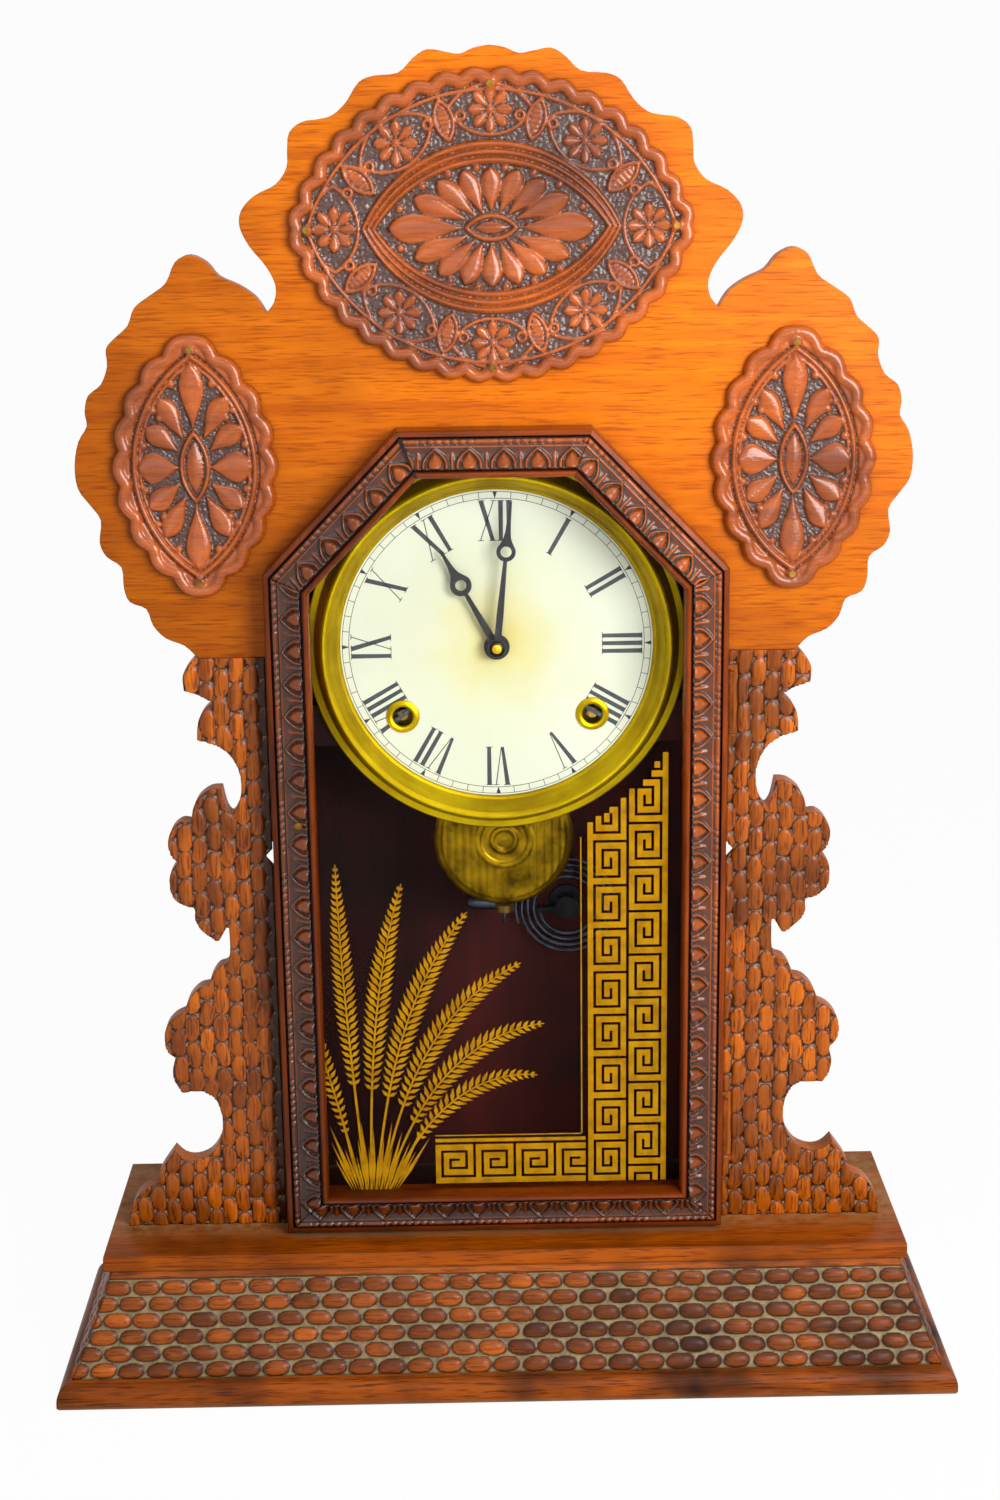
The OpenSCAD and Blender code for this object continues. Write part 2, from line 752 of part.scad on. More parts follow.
// ---- hands ----
// A slim hand with an open ring two thirds of the way out, pointing up from its centre
module hand_outline(l, ring_at, ring, boss, bore) {
    neck = ring_at - ring + 0.5;
    difference() {
        union() {
            circle(boss);
            translate([0, ring_at])
                circle(ring);
            polygon([[-1.5, 0], [1.5, 0], [1.45, neck * 0.4], [0.8, neck], [-0.8, neck],
                [-1.45, neck * 0.4]]);
            polygon([[-ring * 0.93, ring_at + ring * 0.36], [ring * 0.93, ring_at + ring * 0.36],
                [1.75, ring_at + ring + 1], [1.05, ring_at + ring + 4.5], [0.5, l], [-0.5, l],
                [-1.05, ring_at + ring + 4.5], [-1.75, ring_at + ring + 1]]);
        }
        translate([0, ring_at])
            circle(2.3);
        circle(bore);
    }
}
centre_r = 1.2;
pipe_r = 2.4;
minute_y = -1;
hour_y = 2.4;
hand_t = 0.5;
module minute_hand() {
    color(iron)
        on_platform()
            slab(minute_y, minute_y + hand_t)
                translate(centre)
                    rotate(-minute_hand_at)
                        hand_outline(minute_hand_l, minute_hand_l * 0.66, 4, 4, centre_r);
}
module hour_hand() {
    color(iron)
        on_platform()
            slab(hour_y, hour_y + hand_t)
                translate(centre)
                    rotate(-hour_hand_at)
                        hand_outline(hour_hand_l, hour_hand_l * 0.64, 4.5, 5.4, pipe_r);
}

// ---- wheels ----
// Teeth as straight-sided cogs: root and tip sit 1.25 and 0.95 modules from the pitch circle
function cog(n, m, i, part) =
    let (at = [-0.3, -0.1, 0.1, 0.3][part], deep = part == 0 || part == 3 ? -1.25 : 0.95)
    turned((i + at) * 360 / n, (n / 2 + deep) * m);
module cogs(n, m) {
    polygon([for (i = [0 : n - 1], part = [0 : 3]) cog(n, m, i, part)]);
}
// A flat wheel with arms: the rim is three modules deep inside the teeth
module wheel(n, m, t, bore, arms, at) {
    rim = n * m / 2 - 4.4 * m;
    hub = bore + 1.8;
    linear_extrude(t)
        rotate(at)
            difference() {
                cogs(n, m);
                circle(bore);
                difference() {
                    circle(rim);
                    circle(hub);
                    for (k = [0 : arms - 1])
                        rotate(k * 360 / arms)
                            translate([0, -1])
                                square([rim + 1, 2]);
                }
            }
}
// Steel pins between two brass discs, running towards the viewer from z 0
module lantern(n, m, l, at) {
    r = n * m / 2;
    pin = 0.565 * m;
    cap = 0.6;
    for (z = [0, l - cap])
        translate([0, 0, z])
            cylinder(h = cap, r = r + pin + 0.3);
    for (i = [0 : n - 1])
        rotate(at + (i + 0.5) * 360 / n)
            translate([r, 0, cap / 2])
                cylinder(h = l - cap, r = pin, $fn = 16);
}
inside_front = plate_back + plate_t;
inside_back = inside_front + plate_gap;
back_plate_y = inside_back + plate_t;
pivot_r = 0.7;
arbor_r = 1.1;
end_play = 0.15;
// An arbor between the plates with a pivot in each
module arbor(p, r = arbor_r) {
    rod_y(p, r, inside_front + end_play, inside_back - end_play);
    rod_y(p, pivot_r, plate_back, back_plate_y);
}
// Puts a wheel or pinion with its back at depth y, on the arbor at p
module on_arbor(p, y) {
    facing(y)
        translate(p)
            children();
}

// ---- time train: great wheel, second, centre, third, escape ----
great_pinion = 9;
second_teeth = 78;
second_module = 0.54;
centre_teeth = 52;
third_pinion = 6;
third_teeth = 80;
third_module = 0.42;
escape_pinion = 6;
escape_teeth = 42;
escape_r = 15;
great_r = great_teeth * great_module / 2;
great_reach = (great_teeth + great_pinion) * great_module / 2;
second_at = meet(centre, winding, (second_teeth + centre_teeth) * second_module / 2, great_reach);
third_reach = (second_teeth + third_pinion) * second_module / 2;
escape_reach = (third_teeth + escape_pinion) * third_module / 2;
escape_far = 0.985 * (third_reach + escape_reach);
escape_at = [pendulum_x, second_at[1] + sqrt(pow(escape_far, 2) - pow(second_at[0] - pendulum_x, 2))];
third_at = meet(escape_at, second_at, escape_reach, third_reach);
second_y = inside_front + 2.1;
third_y = inside_front + 8.5;
great_y = inside_back - 3.5;
escape_y = inside_front + 4.5;
great_wheel_t = 1.5;
thin = 1;
winding_r = 3;

module great_wheel(p, to, teeth_at) {
    on_arbor(p, great_y + great_wheel_t)
        wheel(great_teeth, great_module, great_wheel_t, winding_r + run, 4, angle_to(p, to));
}
module time_great_wheel() {
    color(brass)
        on_platform()
            great_wheel(winding, second_at);
}
// Winding arbor with its key square, collar and ratchet
module winding_arbor(p) {
    rod_y(p, winding_r, inside_front + end_play, inside_back - end_play);
    rod_y(p, 2.2, dial_back_y + 1, back_plate_y);
    slab(great_y - 1.3, great_y - 0.2)
        translate(p)
            polygon([for (i = [0 : 13], k = [0, 1])
                turned((i + 0.15 * k) * 360 / 14, winding_r + 2.2 - 1.1 * k)]);
    slab(dial_back + 0.6, dial_back_y + 1.4)
        translate(p)
            square(2.9, center = true);
}
module time_winding_arbor() {
    color(steel)
        on_platform()
            winding_arbor(winding);
}
module second_wheel() {
    color(brass)
        on_platform() {
            arbor(second_at);
            on_arbor(second_at, second_y)
                wheel(second_teeth, second_module, thin, arbor_r - 0.1, 4, angle_to(second_at, centre));
            on_arbor(second_at, inside_back - 1)
                lantern(great_pinion, great_module, 5, angle_to(second_at, winding));
        }
}
module centre_wheel() {
    color(brass)
        on_platform()
            on_arbor(centre, second_y)
                wheel(centre_teeth, second_module, thin, centre_r + run, 3,
                    angle_to(centre, second_at) + 180 / centre_teeth);
}
module third_wheel() {
    color(brass)
        on_platform() {
            arbor(third_at, 0.8);
            on_arbor(third_at, third_y)
                wheel(third_teeth, third_module, thin, 0.7, 4, angle_to(third_at, escape_at));
            on_arbor(third_at, inside_front + 3.4)
                lantern(third_pinion, second_module, 3.1,
                    gap_at(second_at, third_at, angle_to(second_at, centre), second_teeth, third_pinion));
        }
}
// Recoil escape wheel with hooked teeth
module escape_wheel() {
    color(brass)
        on_platform() {
            arbor(escape_at, 0.5);
            on_arbor(escape_at, escape_y)
                linear_extrude(thin)
                    difference() {
                        polygon([for (i = [0 : escape_teeth - 1], k = [0, 1])
                            turned((i + 0.35 * k) * 360 / escape_teeth, escape_r - 1.7 * k)]);
                        difference() {
                            circle(escape_r - 3.4);
                            circle(2.4);
                            for (k = [0 : 2])
                                rotate(k * 120)
                                    translate([0, -0.8])
                                        square([escape_r - 3, 1.6]);
                        }
                        circle(0.4);
                    }
            on_arbor(escape_at, third_y + 1.3)
                lantern(escape_pinion, third_module, 3.6, angle_to(escape_at, third_at));
        }
}

// ---- verge and pendulum ----
verge_up = 20.5;
verge_at = escape_at + [0, verge_up];
suspension_at = [pendulum_x, dial_z + suspension_up];
pendulum_y = dial_back_y + bob_t / 2 + 1.1;
rod_r = 0.7;
crutch_z = verge_at[1] - 18;
pallet_clear = 1.4;
// A bent strip whose two ends straddle the escape wheel, and the crutch wire in front of the plate
module verge() {
    arm = norm([escape_r * sin(30), verge_up - escape_r * cos(30)]);
    color(steel)
        on_platform() {
            arbor(verge_at, 0.9);
            slab(escape_y - 2.5, escape_y + 1.5)
                difference() {
                    union() {
                        translate(verge_at)
                            circle(2.4);
                        for (side = [-1, 1])
                            verge_arm(side);
                    }
                    translate(verge_at)
                        circle(0.8);
                }
            rod_y(verge_at, 1.6, plate_back - 3.2, plate_back - 0.4);
            rod_y(verge_at, pivot_r, plate_back - 3.2, plate_back + 0.1);
            translate([verge_at[0], plate_back - 2.4, crutch_z - 0.8])
                cylinder(h = verge_at[1] - crutch_z + 0.8, r = 0.6);
            translate([verge_at[0], pendulum_y + 2.2, crutch_z])
                rotate([-90, 0, 0])
                    cylinder(h = plate_back - 2.4 - pendulum_y - 2.2, r = 0.45);
            crutch_fork();
        }
}
module verge_arm(side) {
    tip = escape_at + (escape_r + pallet_clear) * [side * sin(30), cos(30)];
    out = escape_at + (escape_r + pallet_clear + 1) * [side * sin(32), cos(32)];
    polygon(side > 0 ? [verge_at + [0, 2.2], verge_at + [0, 0.4], tip, out, verge_at + [4, 1.6]]
        : [verge_at + [0, 2.2], verge_at + [-4, 1.6], out, tip, verge_at + [0, 0.4]]);
}
// Two fingers that embrace the pendulum rod
module crutch_fork() {
    half = rod_r + 0.9;
    for (side = [-1, 1])
        translate([verge_at[0] + side * half, pendulum_y - 1.6, crutch_z])
            rotate([-90, 0, 0])
                cylinder(h = 4.2, r = 0.45);
    translate([verge_at[0] - half - 0.6, pendulum_y + 1.8, crutch_z - 0.6])
        cube([2 * half + 1.2, 1.2, 1.2]);
}
module suspension_post() {
    color(brass)
        on_platform()
            difference() {
                rod_y(suspension_at, 2.4, pendulum_y - 2, plate_back);
                translate([suspension_at[0] - 0.45, pendulum_y - 3, suspension_at[1] - 3])
                    cube([0.9, 6, 6]);
            }
}
// Spring strip, wire rod with an eye that clears the hour pipe, and a threaded end
module pendulum_rod() {
    eye = 10.5;
    bob_z = suspension_at[1] - pendulum_l;
    color(steel)
        on_platform() {
            translate([suspension_at[0] - 0.1, pendulum_y - 1.5, suspension_at[1] - 9])
                cube([0.2, 3, 9.5]);
            translate([suspension_at[0] - 0.8, pendulum_y - 1.6, suspension_at[1] - 10.5])
                cube([1.6, 3.2, 3]);
            translate([pendulum_x, pendulum_y, centre[1] + eye])
                cylinder(h = suspension_at[1] - 9 - centre[1] - eye, r = rod_r);
            facing(pendulum_y)
                translate([pendulum_x, centre[1]])
                    rotate_extrude()
                        translate([eye, 0])
                            circle(rod_r, $fn = 24);
            translate([pendulum_x, pendulum_y, bob_z - bob_r - 9])
                cylinder(h = centre[1] - eye - bob_z + bob_r + 9, r = rod_r);
        }
}
// Lens-shaped bob with a raised middle ring and pressed flutes
module pendulum_bob() {
    bob_z = suspension_at[1] - pendulum_l;
    color(brass)
        on_platform()
            difference() {
                translate([pendulum_x, pendulum_y, bob_z])
                    rotate([90, 0, 0])
                        rotate_extrude()
                            polygon([[0, -bob_t / 2 + 0.6], [12, -bob_t / 2], [bob_r - 6, -bob_t / 4],
                                [bob_r, -0.6], [bob_r, 0.6], [bob_r - 1.2, 1.4], [bob_r - 3, bob_t / 4],
                                [13, bob_t / 2 - 0.8], [12, bob_t / 2], [10.4, bob_t / 2],
                                [9.6, bob_t / 2 - 0.9], [6.4, bob_t / 2 - 0.9], [5.6, bob_t / 2],
                                [4.4, bob_t / 2], [3.6, bob_t / 2 - 0.9],
                                [0, bob_t / 2 - 0.6]]);
                translate([pendulum_x, pendulum_y, bob_z - bob_r - 2])
                    cylinder(h = 2 * bob_r + 4, r = rod_r + run);
            }
}
module rating_nut() {
    color(brass)
        on_platform()
            translate([pendulum_x, pendulum_y, suspension_at[1] - pendulum_l - bob_r - 3.1])
                difference() {
                    cylinder(h = 3, r = 4);
                    translate([0, 0, -1])
                        cylinder(h = 5, r = rod_r + run);
                }
}

// ---- hands' motion work, between the dial and the front plate ----
cannon_teeth = 12;
minute_teeth = 36;
minute_pinion = 10;
hour_teeth = 40;
motion_module = 0.5;
motion_reach = (cannon_teeth + minute_teeth) * motion_module / 2;
hour_module = 2 * motion_reach / (minute_pinion + hour_teeth);
minute_at = centre + turned(235, motion_reach);
motion_y = plate_back - 0.8;
hour_wheel_y = plate_back - 3;
module centre_arbor() {
    color(steel)
        on_platform() {
            rod_y(centre, centre_r, minute_y - 1.2, inside_back - end_play);
            rod_y(centre, pivot_r, inside_back - 1, back_plate_y);
            facing(minute_y - 0.02)
                translate(centre)
                    rotate_extrude()
                        polygon([[0, 0], [3.2, 0], [3.2, 0.35], [2.9, 0.75], [2.2, 1.05], [1.3, 1.2],
                            [1.2, 1.6], [0.8, 1.85], [0, 1.9]]);
            on_arbor(centre, motion_y)
                linear_extrude(1.4)
                    rotate(angle_to(centre, minute_at) + 180 / cannon_teeth)
                        cogs(cannon_teeth, motion_module);
        }
}
module hour_wheel() {
    color(brass)
        on_platform() {
            difference() {
                union() {
                    rod_y(centre, pipe_r, hour_y - 0.6, hour_wheel_y);
                    on_arbor(centre, hour_wheel_y)
                        linear_extrude(thin)
                            rotate(angle_to(centre, minute_at) + 180 / hour_teeth)
                                cogs(hour_teeth, hour_module);
                }
                rod_y(centre, centre_r + run, hour_y - 2, hour_wheel_y + 1);
            }
        }
}
module minute_wheel() {
    color(brass)
        on_platform()
            difference() {
                union() {
                    on_arbor(minute_at, motion_y - 0.2)
                        linear_extrude(thin)
                            rotate(angle_to(minute_at, centre))
                                cogs(minute_teeth, motion_module);
                    on_arbor(minute_at, motion_y - 1.1)
                        linear_extrude(2.4)
                            rotate(angle_to(minute_at, centre))
                                cogs(minute_pinion, hour_module);
                }
                rod_y(minute_at, 1 + run, hour_wheel_y - 6, plate_back + 1);
            }
}

// ---- strike train ----
strike_second_teeth = 72;
strike_module = 0.52;
cam_pinion = 8;
cam_teeth = 60;
cam_module = 0.45;
fly_pinion = 6;
strike_winding = other_side(winding);
strike_second_at = other_side(second_at);
cam_at = strike_second_at + turned(60, (strike_second_teeth + cam_pinion) * strike_module / 2);
fly_at = cam_at + turned(102, (cam_teeth + fly_pinion) * cam_module / 2);
count_at = centre + [-25, 20];
pin_circle = strike_second_teeth * strike_module / 2 - 1.5;
module strike_great_wheel() {
    color(brass)
        on_platform()
            great_wheel(strike_winding, strike_second_at);
}
module strike_winding_arbor() {
    color(steel)
        on_platform()
            winding_arbor(strike_winding);
}
// Its ten pins lift the hammer's tail
module strike_second_wheel() {
    color(brass)
        on_platform() {
            arbor(strike_second_at);
            on_arbor(strike_second_at, second_y)
                wheel(strike_second_teeth, strike_module, thin, arbor_r - 0.1, 4,
                    angle_to(strike_second_at, cam_at));
            on_arbor(strike_second_at, inside_back - 1)
                lantern(great_pinion, great_module, 5, angle_to(strike_second_at, strike_winding));
            for (i = [0 : 9])
                rod_y(strike_second_at + turned(i * 36 + 20, pin_circle), 0.5, second_y - thin - 0.8,
                    second_y - thin + 0.2);
        }
}
module strike_cam_wheel() {
    color(brass)
        on_platform() {
            arbor(cam_at, 0.9);
            on_arbor(cam_at, third_y)
                wheel(cam_teeth, cam_module, thin, 0.8, 4, angle_to(cam_at, fly_at));
            on_arbor(cam_at, inside_front + 3.4)
                lantern(cam_pinion, strike_module, 3.1, angle_to(cam_at, strike_second_at));
            slab(third_y + 2, third_y + 3)
                translate(cam_at)
                    difference() {
                        circle(6);
                        translate([3.4, -1.5])
                            square([4, 3]);
                        circle(0.8);
                    }
        }
}
module fly() {
    color(brass)
        on_platform() {
            arbor(fly_at, 0.6);
            on_arbor(fly_at, third_y + 1.3)
                lantern(fly_pinion, cam_module, 3.6, angle_to(fly_at, cam_at));
            slab(third_y + 4, third_y + 11.4)
                translate(fly_at)
                    rotate(25)
                        difference() {
                            square([22, 0.6], center = true);
                            circle(0.5);
                        }
        }
}
// Ninety steps with a deep slot after each hour's count
module count_wheel() {
    steps = 90;
    r = 14;
    color(brass)
        on_platform()
            slab(count_y, count_y + 0.9)
                translate(count_at)
                    difference() {
                        circle(r);
                        circle(1 + run);
                        for (hour = [1 : 12])
                            rotate((hour * (hour + 1) / 2 + hour) * 360 / steps)
                                translate([r - 2.4, -0.45])
                                    square([3, 0.9]);
                        for (k = [0 : 2])
                            rotate(k * 120)
                                translate([6.6, 0])
                                    circle(2.6);
                    }
}
count_y = plate_back - 3.4;

// ---- mainsprings ----
spring_r = great_r - 2.5;
// A steel strip wound from the arbor out to a pillar
module mainspring(p, turns, side) {
    inner = winding_r + 0.35;
    strip = 0.6;
    count = 20 * turns;
    along = [for (i = [0 : count]) inner + (spring_r - inner - strip) * pow(i / count, 0.85)];
    slab(inside_front + 3, great_y - 1.6)
        translate(p)
            polygon(concat([for (i = [0 : count]) turned(side * i * 18 + 30, along[i])],
                [for (i = [count : -1 : 0]) turned(side * i * 18 + 30, along[i] + strip)]));
}
module time_mainspring() {
    color(steel)
        on_platform()
            mainspring(winding, 6, 1);
}
module strike_mainspring() {
    color(steel)
        on_platform()
            mainspring(strike_winding, 6, -1);
}

// ---- plates, pillars, feet ----
plate_low = dial_z - 57;
pillar_xs = plate_half_w - 5;
pillar_places = [[-16, plate_low + 5], [16, plate_low + 5], [-pillar_xs, plate_low + plate_h - 5],
    [pillar_xs, plate_low + plate_h - 5]];
pillar_r = 2.8;
module plate_outline() {
    translate([-plate_half_w, plate_low])
        square([2 * plate_half_w, plate_h]);
}
module pivot_holes() {
    for (p = [second_at, third_at, escape_at, verge_at, strike_second_at, cam_at, fly_at, hammer_at])
        translate(p)
            circle(pivot_r + run);
    for (p = [winding, strike_winding])
        translate(p)
            circle(2.2 + run);
}
module movement_front_plate() {
    color(brass)
        on_platform()
            slab(plate_back, inside_front)
                difference() {
                    plate_outline();
                    pivot_holes();
                    translate(centre)
                        circle(centre_r + run);
                    translate(centre + [0, -38])
                        circle(9);
                    both_sides()
                        translate([pillar_xs - 4, dial_z + 34])
                            circle(7);
                }
}
module movement_back_plate() {
    color(brass)
        on_platform()
            slab(inside_back, back_plate_y)
                difference() {
                    plate_outline();
                    pivot_holes();
                    translate(centre)
                        circle(pivot_r + run);
                    translate(centre + [0, -38])
                        circle(9);
                    both_sides()
                        translate([pillar_xs - 4, dial_z + 34])
                            circle(7);
                }
}
// Turned pillars between the plates, feet behind them, and the studs of the motion work in front
module movement_pillars() {
    color(brass)
        on_platform() {
            for (p = pillar_places) {
                rod_y(p, pillar_r, inside_front, inside_back);
                rod_y(p, pillar_r + 1, back_plate_y, inner_back_y);
            }
            rod_y(minute_at, 1, hour_wheel_y - 1.6, plate_back);
            rod_y(count_at, 1, count_y - 0.8, plate_back);
        }
}

// ---- hammer and gong ----
head_l = 19;
hammer_at = [gong_x - gong_r - gong_wire / 2 - 1.2 - head_l / 2, dial_z - 24.5];
gong_y = inner_back_y - 7.4;
head_z = gong_z + 2.5;
// An arbor in the plates, a wire down to the gong and a barrel-shaped head
module hammer() {
    wire_y = inside_front + 11;
    bend_z = gong_z + 30;
    color(brass)
        on_platform() {
            arbor(hammer_at, 1);
            slab(second_y - thin - 0.8, second_y - thin - 0.15)
                translate(hammer_at)
                    rotate(angle_to(hammer_at, strike_second_at))
                        translate([0, -1])
                            square([norm(strike_second_at - hammer_at) - pin_circle - 1.1, 2]);
            translate([hammer_at[0], wire_y, bend_z])
                cylinder(h = hammer_at[1] - bend_z, r = 0.9);
            translate([hammer_at[0], wire_y, bend_z])
                sphere(0.9);
            translate([hammer_at[0], wire_y, bend_z])
                rotate([-90, 0, 0])
                    cylinder(h = gong_y - wire_y, r = 0.9);
            translate([hammer_at[0], gong_y, bend_z])
                sphere(0.9);
            translate([hammer_at[0], gong_y, head_z])
                cylinder(h = bend_z - head_z, r = 0.9);
            translate([hammer_at[0] - head_l / 2, gong_y, head_z])
                rotate([0, 90, 0])
                    rotate_extrude()
                        polygon([[0, 0], [2.6, 0], [3.2, 2], [3.3, head_l / 2], [3.2, head_l - 2],
                            [2.6, head_l], [0, head_l]]);
        }
}
gong_turns = 4;
gong_inner = gong_r - gong_turns * gong_pitch;
gong_from = 200;
// The coil's centre line: a flat spiral that starts at the block and winds outwards
function gong_line(i, rings) =
    let (t = i / rings, r = gong_inner + gong_turns * gong_pitch * t)
    turned(gong_from + 360 * gong_turns * t, r);
gong_seat = gong_line(0, 1) + turned(gong_from - 90, gong_wire);
module gong_coil() {
    rings = 24 * gong_turns;
    sides = 6;
    line = concat([gong_seat],
        [for (i = [0 : rings]) gong_line(i, rings)]);
    last = len(line) - 1;
    points = [for (i = [0 : last], k = [0 : sides - 1])
        let (ahead = unit(line[min(i + 1, last)] - line[max(i - 1, 0)]), across = left_of(ahead),
            a = k * 360 / sides)
        concat(line[i] + across * cos(a) * gong_wire / 2, sin(a) * gong_wire / 2)];
    faces = concat([[for (k = [0 : sides - 1]) k]], [[for (k = [sides - 1 : -1 : 0]) last * sides + k]],
        [for (i = [0 : last - 1], k = [0 : sides - 1])
            each [[i * sides + k, (i + 1) * sides + k, (i + 1) * sides + (k + 1) % sides],
                [i * sides + k, (i + 1) * sides + (k + 1) % sides, i * sides + (k + 1) % sides]]]);
    gaps = [for (i = [1 : last - 24]) norm(line[i + 24] - line[i]) - gong_wire];
    echo(least_gap_between_gong_turns = min(gaps));
    color(steel)
        on_platform()
            facing(gong_y)
                translate([gong_x, gong_z])
                    polyhedron(points, faces, convexity = 8);
}
// Cast post on the back board, with a lug whose flat face carries the coil's inner end
module gong_base() {
    color(iron)
        on_platform() {
            rod_y([gong_x, gong_z], 5, gong_y - 2.5, inner_back_y);
            rod_y([gong_x, gong_z], 8, inner_back_y - 2.5, inner_back_y);
            slab(gong_y - 2, gong_y + 2)
                translate([gong_x, gong_z] + gong_seat)
                    rotate(gong_from - 90)
                        translate([0, -gong_wire])
                            square([2.3, 1.5 * gong_wire + 0.1]);
            slab(gong_y - 2, gong_y + 2)
                translate([gong_x, gong_z])
                    rotate(angle_to([0, 0], gong_seat + turned(gong_from - 90, 1.35)))
                        translate([0, -0.9])
                            square([norm(gong_seat), 1.8]);
        }
}

crest_board();
left_wing();
right_wing();
crest_medallion();
side_medallions();
medallion_pins();
case_sides();
case_top();
back_board();
platform_board();
base_front_skirt();
base_side_skirts();
base_front_moulding();
base_side_mouldings();
base_glue_blocks();
dial_plate();
dial_bezel();
winding_grommets();
dial_blocks();
movement_front_plate();
movement_back_plate();
movement_pillars();
suspension_post();
gong_base();
gong_coil();
hinge_case_leaves();
latch_keeper();
time_mainspring();
strike_mainspring();
door_top_rail();
door_diagonals();
door_left_stile();
door_right_stile();
door_bottom_rail();
door_glass();
glass_retainers();
hinge_door_leaves();
latch_button();
minute_hand();
centre_arbor();
hour_hand();
hour_wheel();
minute_wheel();
time_great_wheel();
time_winding_arbor();
second_wheel();
centre_wheel();
third_wheel();
escape_wheel();
verge();
pendulum_rod();
pendulum_bob();
rating_nut();
strike_great_wheel();
strike_winding_arbor();
strike_second_wheel();
strike_cam_wheel();
count_wheel();
fly();
hammer();
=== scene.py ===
import math
from functools import reduce
import bpy
import numpy as np
from mathutils import Matrix


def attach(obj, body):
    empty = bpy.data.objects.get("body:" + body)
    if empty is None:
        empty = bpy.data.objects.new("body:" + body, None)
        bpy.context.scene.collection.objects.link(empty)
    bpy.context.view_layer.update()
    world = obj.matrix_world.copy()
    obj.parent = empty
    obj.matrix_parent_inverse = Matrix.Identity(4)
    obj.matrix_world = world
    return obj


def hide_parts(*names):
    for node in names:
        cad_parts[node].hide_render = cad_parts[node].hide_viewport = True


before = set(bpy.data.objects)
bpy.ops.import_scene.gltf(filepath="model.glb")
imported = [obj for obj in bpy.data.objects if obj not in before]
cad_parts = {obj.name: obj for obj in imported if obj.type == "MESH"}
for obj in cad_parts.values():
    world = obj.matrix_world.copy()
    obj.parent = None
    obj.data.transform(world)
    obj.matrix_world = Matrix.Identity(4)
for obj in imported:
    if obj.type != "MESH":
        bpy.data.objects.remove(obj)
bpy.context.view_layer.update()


mm = 0.001
panelFront = -5.4         # front of the crest board and wings, in millimetres
dialHeight = 318.5        # the hands' axis above the floor, in millimetres


# Each input is a number, a colour or the socket that feeds it
def setInputs(tree, node, inputs):
    for key, value in inputs.items():
        if isinstance(value, bpy.types.NodeSocket):
            tree.links.new(value, node.inputs[key])
        else:
            node.inputs[key].default_value = value


def addNode(tree, kind, inputs=(), **settings):
    made = tree.nodes.new(kind)
    for key, value in settings.items():
        setattr(made, key, value)
    setInputs(tree, made, dict(inputs))
    return made


def mathOf(tree, kind, *values, **settings):
    return addNode(tree, "ShaderNodeMath", dict(enumerate(values)), operation=kind, **settings).outputs[0]


def productOf(tree, first, *others):
    for other in others:
        first = mathOf(tree, "MULTIPLY", first, other)
    return first


def mixColours(tree, factor, first, second, blend="MIX"):
    return addNode(tree, "ShaderNodeMix", {0: factor, 6: first, 7: second}, data_type="RGBA",
                   blend_type=blend).outputs[2]


def noiseOf(tree, vector, scale, detail=2.0, rough=0.5, distortion=0.0):
    return addNode(tree, "ShaderNodeTexNoise", {"Vector": vector, "Scale": scale, "Detail": detail,
                   "Roughness": rough, "Distortion": distortion}).outputs[0]


def mapped(tree, vector, **moves):
    return addNode(tree, "ShaderNodeMapping", {"Vector": vector, **moves}).outputs[0]


def rangeOf(tree, value, low, high, toLow=0.0, toHigh=1.0):
    return addNode(tree, "ShaderNodeMapRange", {"Value": value, "From Min": low, "From Max": high,
                   "To Min": toLow, "To Max": toHigh}).outputs[0]


def partsOf(tree, vector):
    return addNode(tree, "ShaderNodeSeparateXYZ", {0: vector}).outputs


def lengthOf(tree, vector):
    return addNode(tree, "ShaderNodeVectorMath", {0: vector}, operation="LENGTH").outputs["Value"]


def asColour(value):
    if isinstance(value, (int, float)):
        return (value, value, value, 1)
    return tuple(value) + (1,) if len(value) == 3 else tuple(value)


def rampOf(tree, source, stops):
    made = addNode(tree, "ShaderNodeValToRGB", {0: source})
    elements = made.color_ramp.elements
    while len(elements) > 1:
        elements.remove(elements[-1])
    elements[0].position, elements[0].color = stops[0][0], asColour(stops[0][1])
    for place, colour in stops[1:]:
        elements.new(place).color = asColour(colour)
    return made.outputs[0]


# A colour as a screen shows it, from 0 to 255, made linear
def srgb(red, green, blue):
    def straight(part):
        part /= 255
        return part / 12.92 if part <= 0.04045 else ((part + 0.055) / 1.055) ** 2.4
    return (straight(red), straight(green), straight(blue), 1)


# Inputs by name with their first value, None for a vector; all outputs but Color are numbers
def newGroup(name, inputs, outputs):
    tree = bpy.data.node_groups.new(name, "ShaderNodeTree")
    for label, value in inputs.items():
        kind = "Vector" if value is None else "Color" if isinstance(value, tuple) else "Float"
        socket = tree.interface.new_socket(label, in_out="INPUT", socket_type="NodeSocket" + kind)
        if value is not None:
            socket.default_value = value
    for label in outputs:
        kind = "Color" if label == "Color" else "Float"
        tree.interface.new_socket(label, in_out="OUTPUT", socket_type="NodeSocket" + kind)
    return tree, tree.nodes.new("NodeGroupInput").outputs, tree.nodes.new("NodeGroupOutput")


def startMaterial(name):
    material = bpy.data.materials.new(name)
    material.use_nodes = True
    tree = material.node_tree
    tree.nodes.clear()
    out = tree.nodes.new("ShaderNodeOutputMaterial")
    shader = tree.nodes.new("ShaderNodeBsdfPrincipled")
    tree.links.new(shader.outputs[0], out.inputs["Surface"])
    return material, tree, shader, tree.nodes.new("ShaderNodeTexCoord").outputs["Object"]


def setSurface(tree, factor, first, second):
    out = next(node for node in tree.nodes if node.type in ("OUTPUT_MATERIAL", "OUTPUT_WORLD"))
    both = addNode(tree, "ShaderNodeMixShader", {0: factor, 1: first.outputs[0], 2: second.outputs[0]})
    tree.links.new(both.outputs[0], out.inputs["Surface"])


